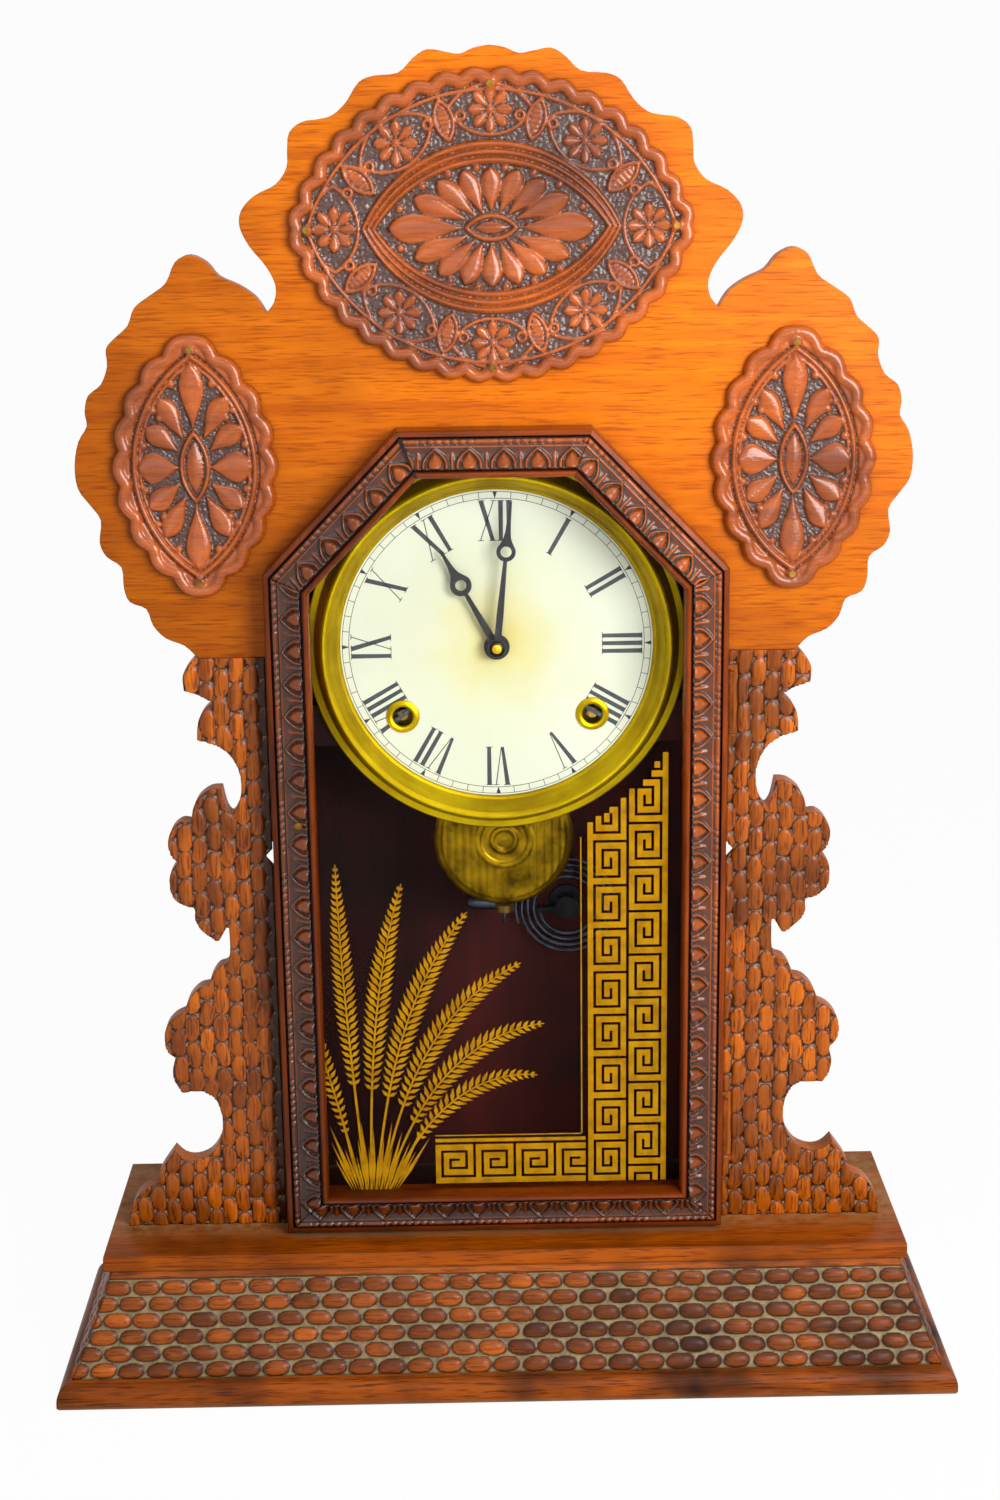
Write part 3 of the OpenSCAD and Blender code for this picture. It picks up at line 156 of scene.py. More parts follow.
def bumpOf(tree, height, strength, **normal):
    return addNode(tree, "ShaderNodeBump", {"Height": height, "Strength": strength, "Distance": 0.0002,
                   **normal}).outputs[0]


# Long fibres along the group's X, broad figure and blotches; Height feeds a Bump
def makeGrainGroup():
    tree, given, out = newGroup("oakGrain", dict(Vector=None, Light=(1, 1, 1, 1), Dark=(0, 0, 0, 1),
                                Stain=(0, 0, 0, 1), Fibre=0.5, Blotch=0.5), ("Color", "Height", "Gloss"))
    fibres = noiseOf(tree, mapped(tree, given["Vector"], Scale=(70, 1150, 1150)), 1.0, 2.0, 0.6)
    figure = noiseOf(tree, mapped(tree, given["Vector"], Scale=(7, 150, 150)), 1.0, 4.0, 0.62, 0.6)
    cloud = noiseOf(tree, given["Vector"], 17.0, 3.0, 0.55)
    streaks = productOf(tree, rampOf(tree, fibres, [(0.5, 0), (0.68, 1)]), given["Fibre"])
    figured = rampOf(tree, figure, [(0.36, 0), (0.7, 0.75)])
    body = mixColours(tree, figured, given["Light"], given["Dark"])
    pore = mixColours(tree, 0.4, given["Dark"], given["Stain"])
    blotches = productOf(tree, rampOf(tree, cloud, [(0.46, 0), (0.8, 1)]), given["Blotch"])
    stained = mixColours(tree, blotches, mixColours(tree, streaks, body, pore), given["Stain"])
    setInputs(tree, out, {"Color": stained, "Height": mathOf(tree, "ADD", productOf(tree, fibres, 0.6), figure),
              "Gloss": rampOf(tree, cloud, [(0.3, 0.0), (0.75, 1.0)])})
    return tree


# Where the surface is closed in, dust broken up by noise; a dark colour here is painted shade in the corners, and a
# pale one on stud tops and on the door's carved ground is partly painted highlight and sheen
def makeDustAndLightGroup():
    tree, given, out = newGroup("dustAndPaintedLight", dict(Vector=None, Color=(1, 1, 1, 1), DustAndPaintedLight=(0.2, 0.2, 0.16, 1),
                                Recess=0.0, Amount=0.5), ("Color",))
    broken = rampOf(tree, noiseOf(tree, given["Vector"], 260.0, 4.0, 0.7), [(0.3, 0.35), (0.65, 1)])
    mask = mathOf(tree, "MULTIPLY", productOf(tree, given["Recess"], broken), given["Amount"], use_clamp=True)
    setInputs(tree, out, {"Color": mixColours(tree, mask, given["Color"], given["DustAndPaintedLight"])})
    return tree


# Tarnish in soft patches, for brass
def makeTarnishGroup():
    tree, given, out = newGroup("tarnish", dict(Vector=None, Bright=(0.8, 0.6, 0.2, 1), Dull=(0.2, 0.15, 0.04, 1),
                                Scale=60.0), ("Color", "Rough", "Height"))
    patches = noiseOf(tree, given["Vector"], given["Scale"], 5.0, 0.65)
    mask = rampOf(tree, patches, [(0.38, 0), (0.66, 1)])
    setInputs(tree, out, {"Color": mixColours(tree, mask, given["Bright"], given["Dull"]), "Height": patches,
              "Rough": mathOf(tree, "MULTIPLY_ADD", mask, 0.25)})
    return tree


grainGroup = makeGrainGroup()
dustAndLightGroup = makeDustAndLightGroup()
tarnishGroup = makeTarnishGroup()

# Colours are as on screen. Upright turns the fibres along Z; shade is painted shade, a grey factor that darkens the
# left and the bottom, as explained below
woodLooks = {
    # crestOak: its dark dust colour is painted shade near the medallions and edges; its shade is painted shade on
    # the left and low parts
    "crestOak": dict(light=(228, 120, 2), dark=(186, 82, 0), stain=(112, 44, 0), fibre=0.8, blotch=0.5,
        rough=0.34, dust=0.5, dustAndPaintedLightColour=(70, 34, 6), specular=0.12, coat=0,
        shade=(-0.19, -0.02, 0.5, 0.33, 0.42, 0.72)),
    "wingOak": dict(light=(190, 98, 10), dark=(132, 58, 4), stain=(70, 30, 2), upright=True, fibre=0.6, blotch=0.6,
        rough=0.36, dust=0.3),
    "baseOak": dict(light=(166, 78, 2), dark=(112, 48, 0), stain=(50, 18, 0), fibre=0.9, blotch=1.0, rough=0.38,
        dust=0.45, ledge=True),
    "footOak": dict(light=(152, 72, 6), dark=(94, 40, 2), stain=(34, 12, 2), fibre=1.0, blotch=1.5, rough=0.38,
        dust=0.45),
    "caseOak": dict(light=(168, 88, 26), dark=(112, 56, 14), stain=(54, 26, 8), upright=True, fibre=0.5, blotch=0.7,
        rough=0.45, dust=0.2),
    # doorOak: its near-black dust colour is painted shade in the closed-in corners; its shade is painted shade on
    # the left and the bottom
    "doorOak": dict(light=(152, 64, 8), dark=(92, 34, 4), stain=(42, 14, 4), upright=True, fibre=0.45, blotch=0.8,
        rough=0.26, dust=0.8, dustAndPaintedLightColour=(34, 18, 12), coat=0.1,
        shade=(-0.1, 0.02, 0.5, 0.06, 0.2, 0.7)),
    # carvedOak: the groove colour is painted shade in the medallions' low ground; its shade is a slight painted
    # shade on the left
    "carvedOak": dict(light=(192, 92, 20), dark=(126, 54, 10), stain=(70, 26, 8), fibre=0.35, blotch=0.9, rough=0.2,
        dust=0.5, carved=True, tone=0.12, deep=0.95, groove=(34, 12, 8), dustAndPaintedLightColour=(112, 84, 76),
        coat=0.34, specular=0.3, relief=0.7, shade=(-0.15, 0.0, 0.9, 0.3, 0.31, 1.0)),
    # wingStudOak: the groove colour is painted shade between the studs; the pale dust is dust and a painted
    # highlight on each stud's top end
    "wingStudOak": dict(light=(206, 104, 4), dark=(124, 52, 2), stain=(50, 20, 2), upright=True, fibre=1.0,
        blotch=0.9, rough=0.3, dust=0.75, carved=True, tone=0.55, deep=0.95, groove=(34, 14, 4),
        dustAndPaintedLightColour=(160, 122, 98), dustFrom=0.77, coat=0.1, specular=0.2, relief=0.9),
    # skirtStudOak: the groove colour is painted shade round and under the studs
    "skirtStudOak": dict(light=(186, 92, 16), dark=(112, 50, 8), stain=(50, 20, 4), fibre=0.9, blotch=1.3,
        rough=0.36, dust=1.0, carved=True, tone=0.8, deep=0.95, groove=(22, 12, 4),
        dustAndPaintedLightColour=(142, 122, 86), dustFrom=0.72, coat=0.06, specular=0.16, relief=0.8),
    # doorCarvedOak: the groove colour is painted shade in the grooves; the grey-lilac dust is dust and painted
    # sheen on the carved ground; its shade is painted shade on the left and the bottom
    "doorCarvedOak": dict(light=(190, 90, 14), dark=(120, 50, 8), stain=(56, 20, 6), upright=True, fibre=0.3,
        blotch=0.6, rough=0.2, dust=0.4, carved=True, tone=0.35, deep=1.0, groove=(14, 6, 6),
        dustAndPaintedLightColour=(120, 100, 92), coat=0.34, specular=0.25, relief=0.4,
        shade=(-0.1, 0.02, 0.46, 0.06, 0.3, 0.5)),
    # backPine: its very dark red-brown is partly painted shade of the closed case; its shade is painted shade on
    # the left
    "backPine": dict(light=(72, 22, 18), dark=(44, 16, 14), stain=(16, 16, 16), upright=True, fibre=0.2, blotch=0.9,
        rough=0.6, dust=0.0, coat=0, shade=(-0.04, -0.012, 0.3, 0.05, 0.06, 1.0)),
    "rawPine": dict(light=(196, 152, 92), dark=(150, 104, 56), stain=(96, 64, 36), upright=True, fibre=0.5,
        blotch=0.4, rough=0.7, dust=0.2),
}
woodLooks["doorOakLevel"] = dict(woodLooks["doorOak"], upright=False)


# Painted shade for light that comes from the right: a grey factor from (X low, X high, least) times (Z low, Z high,
# least)
def paintedShadeFactor(tree, place, given):
    parts = partsOf(tree, place)
    return productOf(tree, *[rangeOf(tree, parts[axis], low, high, least)
                             for axis, (low, high, least) in (("X", given[:3]), ("Z", given[3:]))])


# The platform board, in metres: its top, where dust gathers (y), and the part inside the case, whose top is painted
# dark as shade
ledge = dict(top=0.0604, dustFrom=-0.022, dustTo=-0.007, dust=(172, 128, 78), halfInside=0.09,
             insideFrom=-0.005, inside=(34, 16, 10))


def ledgeDustAndShade(tree, place, colour, given):
    parts = partsOf(tree, place)
    onTop = mathOf(tree, "GREATER_THAN", parts["Z"], given["top"])
    specks = rampOf(tree, noiseOf(tree, place, 160.0, 5.0, 0.7), [(0.35, 0.1), (0.65, 0.7)])
    mask = productOf(tree, onTop, rangeOf(tree, parts["Y"], given["dustFrom"], given["dustTo"]), specks)
    colour = mixColours(tree, mask, colour, srgb(*given["dust"]))
    # Painted shade: the board's top inside the case is made dark
    between = mathOf(tree, "LESS_THAN", mathOf(tree, "ABSOLUTE", parts["X"]), given["halfInside"])
    behind = mathOf(tree, "GREATER_THAN", parts["Y"], given["insideFrom"])
    return mixColours(tree, productOf(tree, between, behind, onTop), colour, srgb(*given["inside"]))


# Widths in metres: how near a wall closes a place in, and how round the edges look
nearWall, edgeRadius = 0.006, 0.0007


# Carved pieces carry two levels of their own: recess takes the groove colour, which is painted shade in the low
# places, and gathers dust; tone tints each stud and holds the painted shadow of the door on the left wing
def makeWood(name, look):
    material, tree, shader, place = startMaterial(name)
    carved = look.get("carved")
    turned = mapped(tree, place, Rotation=(0, math.pi / 2 if look.get("upright") else 0, 0))
    grain = addNode(tree, "ShaderNodeGroup", {"Vector": turned, "Light": srgb(*look["light"]),
                    "Dark": srgb(*look["dark"]), "Stain": srgb(*look["stain"]), "Fibre": look["fibre"],
                    "Blotch": look["blotch"]}, node_tree=grainGroup).outputs
    colour = grain["Color"]
    if carved:
        level = addNode(tree, "ShaderNodeAttribute", attribute_name="recess").outputs["Fac"]
        tone = addNode(tree, "ShaderNodeAttribute", attribute_name="tone").outputs["Fac"]
        colour = mixColours(tree, productOf(tree, tone, look["tone"]), colour, srgb(*look["stain"]))
        # Painted shade: the groove colour where recess is high
        deep = rampOf(tree, level, [(0.25, 0), (0.75, look["deep"])])
        colour = mixColours(tree, deep, colour, srgb(*look["groove"]))
        recess = rampOf(tree, level, [(look.get("dustFrom", 0.45), 0), (0.96, 1)])
    else:
        # Closed-in places gather dust; with the dark colours of crestOak and doorOak this is painted shade in the
        # corners
        closed = addNode(tree, "ShaderNodeAmbientOcclusion", {"Distance": nearWall}, samples=6)
        recess = rampOf(tree, closed.outputs["AO"], [(0.25, 1), (0.8, 0)])
    if look.get("ledge"):
        colour = ledgeDustAndShade(tree, place, colour, ledge)
    colour = addNode(tree, "ShaderNodeGroup", {"Vector": place, "Color": colour, "Recess": recess,
                     "DustAndPaintedLight": srgb(*look.get("dustAndPaintedLightColour", (128, 118, 92))), "Amount": look["dust"]},
                     node_tree=dustAndLightGroup).outputs["Color"]
    # Painted shade: darker towards the left and the bottom
    if look.get("shade"):
        colour = mixColours(tree, 1.0, colour, paintedShadeFactor(tree, place, look["shade"]), "MULTIPLY")
    soft = addNode(tree, "ShaderNodeBevel", {"Radius": edgeRadius}, samples=4).outputs[0]
    setInputs(tree, shader, {
        "Base Color": colour, "Coat Weight": look.get("coat", 0.04), "Coat Roughness": 0.17,
        "Roughness": rangeOf(tree, grain["Gloss"], 0.0, 1.0, look["rough"] - 0.06, look["rough"] + 0.16),
        "Specular IOR Level": look.get("specular", 0.35 if carved else 0.1),
        "Normal": bumpOf(tree, grain["Height"], look.get("relief", 0.25), Normal=soft)})
    return material


# Tip is a function that changes the colour near one place
def makeMetal(name, bright, dull, rough, scale=60.0, metallic=1.0, bump=0.15, specular=0.5, tip=None):
    material, tree, shader, place = startMaterial(name)
    worn = addNode(tree, "ShaderNodeGroup", {"Vector": place, "Bright": srgb(*bright), "Dull": srgb(*dull),
                   "Scale": scale}, node_tree=tarnishGroup).outputs
    setInputs(tree, shader, {
        "Base Color": tip(tree, place, worn["Color"]) if tip else worn["Color"], "Metallic": metallic,
        "Roughness": rangeOf(tree, worn["Rough"], 0.0, 1.0, rough, rough + 0.22), "Specular IOR Level": specular,
        "Normal": bumpOf(tree, worn["Height"], bump)})
    if metallic > 0.5:
        setInputs(tree, shader, {"Specular Tint": srgb(*[(value + 60) * 0.8 for value in bright])})
    return material


# The front end of the arbor, before the hands, is a brass collet; sizes in metres
arborTip = dict(front=-0.001, radius=0.0019, brass=(206, 168, 40), inside=(40, 34, 26))


def brassTip(tree, place, steel):
    ahead = mathOf(tree, "LESS_THAN", partsOf(tree, place)["Y"], arborTip["front"])
    away = lengthOf(tree, mapped(tree, place, Location=(0, 0, -dialHeight * mm), Scale=(1, 0, 1)))
    tip = mixColours(tree, mathOf(tree, "LESS_THAN", away, arborTip["radius"]), srgb(*arborTip["inside"]),
                     srgb(*arborTip["brass"]))
    return mixColours(tree, ahead, steel, tip)


# Paper tints by distance from the middle, 1 at 83 mm, with brown specks
dialPaint = dict(tints=[(0.2, (206, 190, 98)), (0.36, (208, 203, 146)), (0.55, (208, 211, 182)),
                        (0.9, (207, 213, 196))], specks=(196, 180, 120), rough=0.55)


def makeDialPaint(given):
    material, tree, shader, place = startMaterial("dialPaper")
    away = lengthOf(tree, mapped(tree, place, Location=(0, 0, -dialHeight * mm)))
    wander = mathOf(tree, "ADD", away, productOf(tree, noiseOf(tree, place, 45.0, 4.0, 0.6), 0.03))
    tint = rampOf(tree, productOf(tree, wander, 12.0), [(at, srgb(*colour)) for at, colour in given["tints"]])
    specks = rampOf(tree, noiseOf(tree, place, 900.0), [(0.62, 0), (0.8, 0.35)])
    setInputs(tree, shader, {"Base Color": mixColours(tree, specks, tint, srgb(*given["specks"])),
              "Roughness": given["rough"]})
    return material


# Clear to shadow and diffuse rays, so that the case behind it is lit evenly
def makeGlass():
    material, tree, shader, place = startMaterial("doorGlass")
    smear = rampOf(tree, noiseOf(tree, place, 14.0, 5.0), [(0.4, (0.97, 0.98, 0.97)), (0.8, (0.9, 0.91, 0.9))])
    setInputs(tree, shader, {"Base Color": smear, "Transmission Weight": 1.0, "IOR": 1.06, "Roughness": 0.0})
    path = tree.nodes.new("ShaderNodeLightPath").outputs
    setSurface(tree, mathOf(tree, "MAXIMUM", path["Is Shadow Ray"], path["Is Diffuse Ray"]), shader,
               tree.nodes.new("ShaderNodeBsdfTransparent"))
    return material


# Bright and dull colour, roughness, patch scale, metallic, bump, specular
metalLooks = {
    "bezelBrass": ((190, 162, 12), (152, 124, 6), 0.24, 34, 0.72),
    "movementBrass": ((150, 120, 56), (84, 62, 26), 0.34, 70),
    "wornBrass": ((150, 112, 40), (70, 48, 20), 0.36, 90),
    "bobBrass": ((152, 118, 14), (74, 54, 6), 0.2, 90),
    "gilt": ((178, 128, 4), (146, 100, 2), 0.7, 160, 0.0, 0.05, 0.06),
    "hingeBrass": ((150, 72, 10), (84, 38, 6), 0.5, 90, 0.2, 0.15, 0.15),
    "crackShade": ((14, 10, 9), (24, 17, 14), 0.8, 300, 0.0),
    "bluedSteel": ((78, 84, 98), (38, 40, 50), 0.3, 80),
    "castIron": ((46, 46, 50), (30, 26, 24), 0.6, 120, 0.6),
    "handBlack": ((20, 20, 24), (34, 32, 34), 0.38, 120, 0.3),
    "tippedSteel": ((60, 64, 74), (34, 36, 42), 0.3, 80, 1.0, 0.15, 0.5, brassTip),
    "printBlack": ((40, 44, 50), (58, 62, 66), 0.5, 300, 0.0, 0.05),
}
looks = {name: makeWood(name, look) for name, look in woodLooks.items()}
looks.update({name: makeMetal(name, *look) for name, look in metalLooks.items()})
looks.update(dialPaper=makeDialPaint(dialPaint), doorGlass=makeGlass())
print("materials", len(looks))

# The nodes of each finish; all others are movement brass
lookNodes = {
    "crestOak": "crest_board", "wingOak": "left_wing right_wing", "carvedOak": "crest_medallion side_medallions",
    "caseOak": "case_sides case_top", "backPine": "back_board dial_blocks", "rawPine": "base_glue_blocks",
    "baseOak": "platform_board base_front_skirt base_side_skirts",
    "footOak": "base_front_moulding base_side_mouldings", "doorOakLevel": "door_top_rail door_bottom_rail",
    "doorOak": "door_diagonals door_left_stile door_right_stile glass_retainers", "doorGlass": "door_glass",
    "dialPaper": "dial_plate", "bezelBrass": "dial_bezel winding_grommets", "handBlack": "minute_hand hour_hand",
    "castIron": "gong_base", "tippedSteel": "centre_arbor", "bobBrass": "pendulum_bob",
    "bluedSteel": "gong_coil verge pendulum_rod time_mainspring strike_mainspring hammer",
    "hingeBrass": "hinge_case_leaves hinge_door_leaves", "wornBrass": "medallion_pins latch_button latch_keeper",
}
nodeLooks = {node: look for look, nodes in lookNodes.items() for node in nodes.split()}
for nodeName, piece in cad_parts.items():
    piece.data.materials.clear()
    piece.data.materials.append(looks[nodeLooks.get(nodeName, "movementBrass")])
print("dressed", len(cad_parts), "nodes")


# Quads of a grid whose rows run along the first index
def gridFaces(rows, columns):
    index = np.arange(rows * columns).reshape(rows, columns)
    return np.stack([index[:-1, :-1], index[1:, :-1], index[1:, 1:], index[:-1, 1:]], -1).reshape(-1, 4)


def pointsAt(x, y, z):
    return np.stack(np.broadcast_arrays(x, y, z), -1).reshape(-1, 3)


# The front faces, the same faces turned round on the back points, and walls along every open edge
def closeShell(faces, count):
    edges = np.stack([faces, np.roll(faces, -1, axis=1)], -1).reshape(-1, 2)
    forward = edges[:, 0] * count + edges[:, 1]
    backward = edges[:, 1] * count + edges[:, 0]
    rim = edges[~np.isin(forward, backward)]
    walls = np.column_stack([rim[:, 1], rim[:, 0], rim[:, 0] + count, rim[:, 1] + count])
    return np.vstack([faces, faces[:, ::-1] + count, walls])


# A closed piece from front and back points in millimetres; each level has one value per front point
def addShell(name, front, back, faces, look, body, slotName, smooth=True, **levels):
    shell = closeShell(faces, len(front))
    mesh = bpy.data.meshes.new(name)
    mesh.from_pydata((np.vstack([front, back]) * mm).tolist(), [], shell.tolist())
    mesh.polygons.foreach_set("use_smooth", np.full(len(mesh.polygons), smooth))
    for key, values in levels.items():
        both = np.tile(np.ravel(values), 2).astype(np.float32)
        mesh.attributes.new(key, "FLOAT", "POINT").data.foreach_set("value", both)
    mesh.materials.append(looks[look])
    piece = bpy.data.objects.new(name, mesh)
    bpy.context.scene.collection.objects.link(piece)
    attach(piece, body)
    print(name, len(shell) * 2, "triangles")
    return piece


# Signed distance to a set of outline segments, positive inside, with the nearest point of the outline
def outlineDistance(points, starts, ends):
    best = np.full(len(points), 1e9)
    nearest = points.copy()
    crossings = np.zeros(len(points), int)
    for start, end in zip(starts, ends):
        way = end - start
        share = np.clip(((points - start) @ way) / max(way @ way, 1e-12), 0, 1)
        foot = start + share[:, None] * way
        gap = np.hypot(*(points - foot).T)
        closer = gap < best
        best = np.where(closer, gap, best)
        nearest[closer] = foot[closer]
        if start[1] != end[1]:
            straddles = (start[1] > points[:, 1]) != (end[1] > points[:, 1])
            crossings += straddles & (points[:, 0] < start[0] + (points[:, 1] - start[1]) * way[0] / way[1])
    return np.where(crossings % 2 == 1, best, -best), nearest


# A grid over an outline, its edge points moved onto the outline: points, quads and depth inside
def clippedGrid(starts, ends, pitch):
    low = np.minimum(starts.min(0), ends.min(0)) - pitch
    high = np.maximum(starts.max(0), ends.max(0)) + pitch
    xs = np.arange(low[0], high[0] + pitch, pitch)
    zs = np.arange(low[1], high[1] + pitch, pitch)
    points = np.stack(np.meshgrid(xs, zs, indexing="ij"), -1).reshape(-1, 2)
    depth, nearest = outlineDistance(points, starts, ends)
    faces = gridFaces(len(xs), len(zs))
    faces = faces[(depth[faces] > -0.62 * pitch).all(1) & (depth[faces] > 0).any(1)]
    outside = depth < 0.18 * pitch
    points[outside] = nearest[outside]
    depth = np.maximum(depth, 0)
    used, inverse = np.unique(faces, return_inverse=True)
    return points[used], inverse.reshape(-1, 4), depth[used]


def loopSegments(points):
    return points, np.roll(points, -1, axis=0)


# Unit vector at a clock angle in radians: 0 is up, positive to the right
def heading(turn):
    return np.array([math.sin(turn), math.cos(turn)])


def leftOf(way):
    return np.array([-way[1], way[0]])


# A number from 0 to 1 that is fixed for each pair of whole numbers
def scatter(first, second, seed=0.0):
    wave = np.sin(first * 12.9898 + second * 78.233 + seed * 37.719) * 43758.5453
    return wave - np.floor(wave)


# 0 below low, 1 above high, and s s (3 - 2 s) between them
def easeIn(value, low, high):
    share = np.clip((value - low) / (high - low), 0, 1)
    return share * share * (3 - 2 * share)


# From 1 at 0 to 0 at 1 along a circle, for a value that is squared already
def roundTop(value):
    return np.sqrt(np.clip(1 - value, 0, 1))


def highest(*shapes):
    return reduce(np.maximum, shapes)


# Stud field: sqrt(1 - reach), where reach = |u / size|^2.5 + |v / size|^2.5 in a cell from -1 to 1.
# Every other row is moved by half a cell
def studField(along, across, pitch, row, fill, seed):
    rowAt = np.floor(across / row)
    shift = np.mod(rowAt, 2) * 0.5
    cellAt = np.floor(along / pitch + shift)
    size = fill + 0.09 * scatter(cellAt, rowAt, seed) - 0.03
    u = (along / pitch + shift - cellAt - 0.5) * 2 + 0.10 * (scatter(cellAt, rowAt, seed + 1) - 0.5)
    v = (across / row - rowAt - 0.5) * 2 + 0.10 * (scatter(cellAt, rowAt, seed + 2) - 0.5)
    reach = np.abs(u / size) ** 2.5 + np.abs(v / (size - 0.03)) ** 2.5
    return roundTop(reach), scatter(cellAt, rowAt, seed + 3), u, v, reach


# How deep a point lies inside a lens of half length a and half height b
def lensDepth(x, z, a, b):
    radius = (a * a + b * b) / (2 * b)
    return radius - np.hypot(x, np.abs(z) + radius - b)


# A bead of elliptic section that follows one depth
def ridge(depth, at, width, height):
    return height * roundTop(((depth - at) / (width / 2)) ** 2)


# Teardrop from a pointed start to a round tip: half width goes with sin(pi share^1.75)^0.62
def petal(x, z, start, tip, width, height):
    way = np.array(tip, float) - start
    length = np.hypot(*way)
    way /= length
    share = np.clip(((x - start[0]) * way[0] + (z - start[1]) * way[1]) / length, 0, 1)
    off = (z - start[1]) * way[0] - (x - start[0]) * way[1]
    half = width / 2 * np.sin(np.pi * share ** 1.75) ** 0.62 + 1e-6
    return height * roundTop((off / half) ** 2) * (0.55 + 0.45 * share)


# Half an ellipsoid over a circle
def berry(x, z, at, radius, height):
    return height * roundTop(((x - at[0]) ** 2 + (z - at[1]) ** 2) / radius ** 2)


# Distances from a place, along a direction and across it
def turnedTo(x, z, at, direction):
    direction = np.array(direction, float) / np.hypot(*direction)
    return ((x - at[0]) * direction[0] + (z - at[1]) * direction[1],
            (z - at[1]) * direction[0] - (x - at[0]) * direction[1])


# The lens outline with rounded lobes, as in the part's source
def scallopedLens(a, b, lobes, swell, steps):
    radius = (a * a + b * b) / (2 * b)
    half = math.asin(a / radius)
    share = np.arange(steps) / steps
    turn = half - 2 * half * share
    reach = radius + swell * (np.abs(np.sin(math.pi * lobes * share)) - 0.5)
    upper = np.column_stack([reach * np.sin(turn), reach * np.cos(turn) - radius + b])
    return np.vstack([upper, -upper])


# Lenses are (half length, half height); petals are (start, tip, width), drawn in all four quarters
crestCarving = dict(
    a=80.5, b=60, lobes=18, swell=2.4, pitch=0.56, centre=(0, 490), ground=2.0,
    rimHeight=2.5, rimWidth=5.4, field=(45.5, 24.3), band=(51.5, 33.6),
    daisies=[(0, 45), (37, 32.6), (62, 0)], daisyReach=8.7, daisyLens=(17.5, 10.4),
    eyes=[((18, 41), (0.25, 0.97)), ((52, 18.8), (0.75, 0.66))], eyeLens=(8.6, 4.2),
    petals=[((0, 5.6), (0, 22.8), 8.4), ((3.2, 5.4), (11, 21.8), 8.2), ((6.2, 4.6), (21, 18), 8.4),
    ((9.2, 3), (30.4, 11.6), 8.8), ((11, 0), (40.4, 0), 11.8)], petalRise=2.3,
    berries=[(5.6, 22.8), (16.6, 20.6), (26.8, 16), (36, 7.6)], berrySize=(1.5, 1.3),
    ring=(11, 5.4), ringRise=1.8, leaf=(7, 2.7), leafRise=1.5, pins=[(72.9, 0), (0, 54.5)])
sideCarving = dict(
    a=54.5, b=32.5, lobes=9, swell=2.4, pitch=0.47, centre=(121, 397), upright=True, ground=1.9,
    rimHeight=2.7, rimWidth=5.6,
    petals=[((15, 0), (41.4, 0), 10.4), ((0, 6), (0, 22.6), 13.2), ((6.4, 6), (16.4, 18.8), 9.2),
    ((11.4, 4), (28, 13), 8.8)], petalRise=2.5,
    berries=[(9, 20.4), (23, 16.2), (33.4, 8.2), (20, 13.4)], berrySize=(1.7, 1.7),
    ring=(15, 6.2), ringRise=1.9, leaf=(11, 3.9), leafRise=1.7, pins=[(46.9, 0)])


# Petals and berries round a ringed leaf, each where it is the highest
def flowerHeight(x, z, shape, given):
    ax, az = np.abs(x), np.abs(z)
    petals = [petal(ax, az, *drawn, given["petalRise"]) for drawn in given["petals"]]
    berries = [berry(ax, az, at, *given["berrySize"]) for at in given["berries"]]
    leaf = lensDepth(x, z, *given["leaf"])
    return highest(shape, *petals, *berries, ridge(lensDepth(x, z, *given["ring"]), 0.9, 1.9, given["ringRise"]),
                   given["leafRise"] * np.sqrt(np.clip(leaf / given["leaf"][1], 0, 1)))


# Rims, a band of three beads |sin(3 pi share)|^1.3, daisies and eyes, and the flower in the field
def crestHeight(x, z, rimDepth, given):
    ax, az = np.abs(x), np.abs(z)
    inField = lensDepth(x, z, *given["field"])
    inBand = lensDepth(x, z, *given["band"])
    shape = highest(ridge(rimDepth, 2.5, given["rimWidth"], given["rimHeight"]),
                    ridge(lensDepth(x, z, given["a"], given["b"]), 7.4, 1.5, 1.3))
    share = np.clip(-inField / np.maximum(inBand - inField, 1e-6), 0, 1)
    beads = 0.1 + 2.2 * np.abs(np.sin(3 * np.pi * share)) ** 1.3
    shape = np.where((inField < 0) & (inBand > 0), highest(shape, beads), shape)
    for at in given["daisies"]:
        lens = turnedTo(ax, az, at, (at[1] + 24, -at[0]) if at[1] else (0, 1))
        gap = np.hypot(ax - at[0], az - at[1])
        folded = np.mod(np.arctan2(az - at[1], ax - at[0]) + np.pi / 8, np.pi / 4) - np.pi / 8
        leaves = petal(gap * np.cos(folded), gap * np.sin(folded), (1.2, 0), (given["daisyReach"], 0), 4.3, 1.8)
        shape = highest(shape, ridge(lensDepth(*lens, *given["daisyLens"]), 0.8, 1.5, 1.0), leaves,
                        berry(ax, az, at, 1.7, 1.5))
    for at, direction in given["eyes"]:
        along, across = turnedTo(ax, az, at, direction)
        inEye, leaf = lensDepth(along, across, *given["eyeLens"]), lensDepth(along, across, 6.2, 2.3)
        shape = highest(np.where(inEye > 0, 0.1, shape), ridge(inEye, 0.7, 1.5, 1.7),
                        np.where(leaf > 0, 0.5 + 0.5 * np.abs(np.sin(along * 1.6)), 0),
                        *[ridge(np.hypot(along, across - side * 6.6), 1.7, 1.4, 1.3) for side in (-1, 1)])
    return np.where(inField > 0, flowerHeight(x, z, 0, given), shape)


# Rims round a border and an inner lens with two beads, under the flower
def sideHeight(x, z, rimDepth, given):
    inner = lensDepth(x, z, given["a"] - 8.6, given["b"] - 7)
    shape = highest(ridge(rimDepth, 2.7, given["rimWidth"], given["rimHeight"]), 1.3 * easeIn(-inner, 0.3, 1.1),
                    ridge(inner, 1.2, 2.4, 2.2), ridge(inner, 3.3, 1.5, 1.5))
    return flowerHeight(x, z, shape, given)


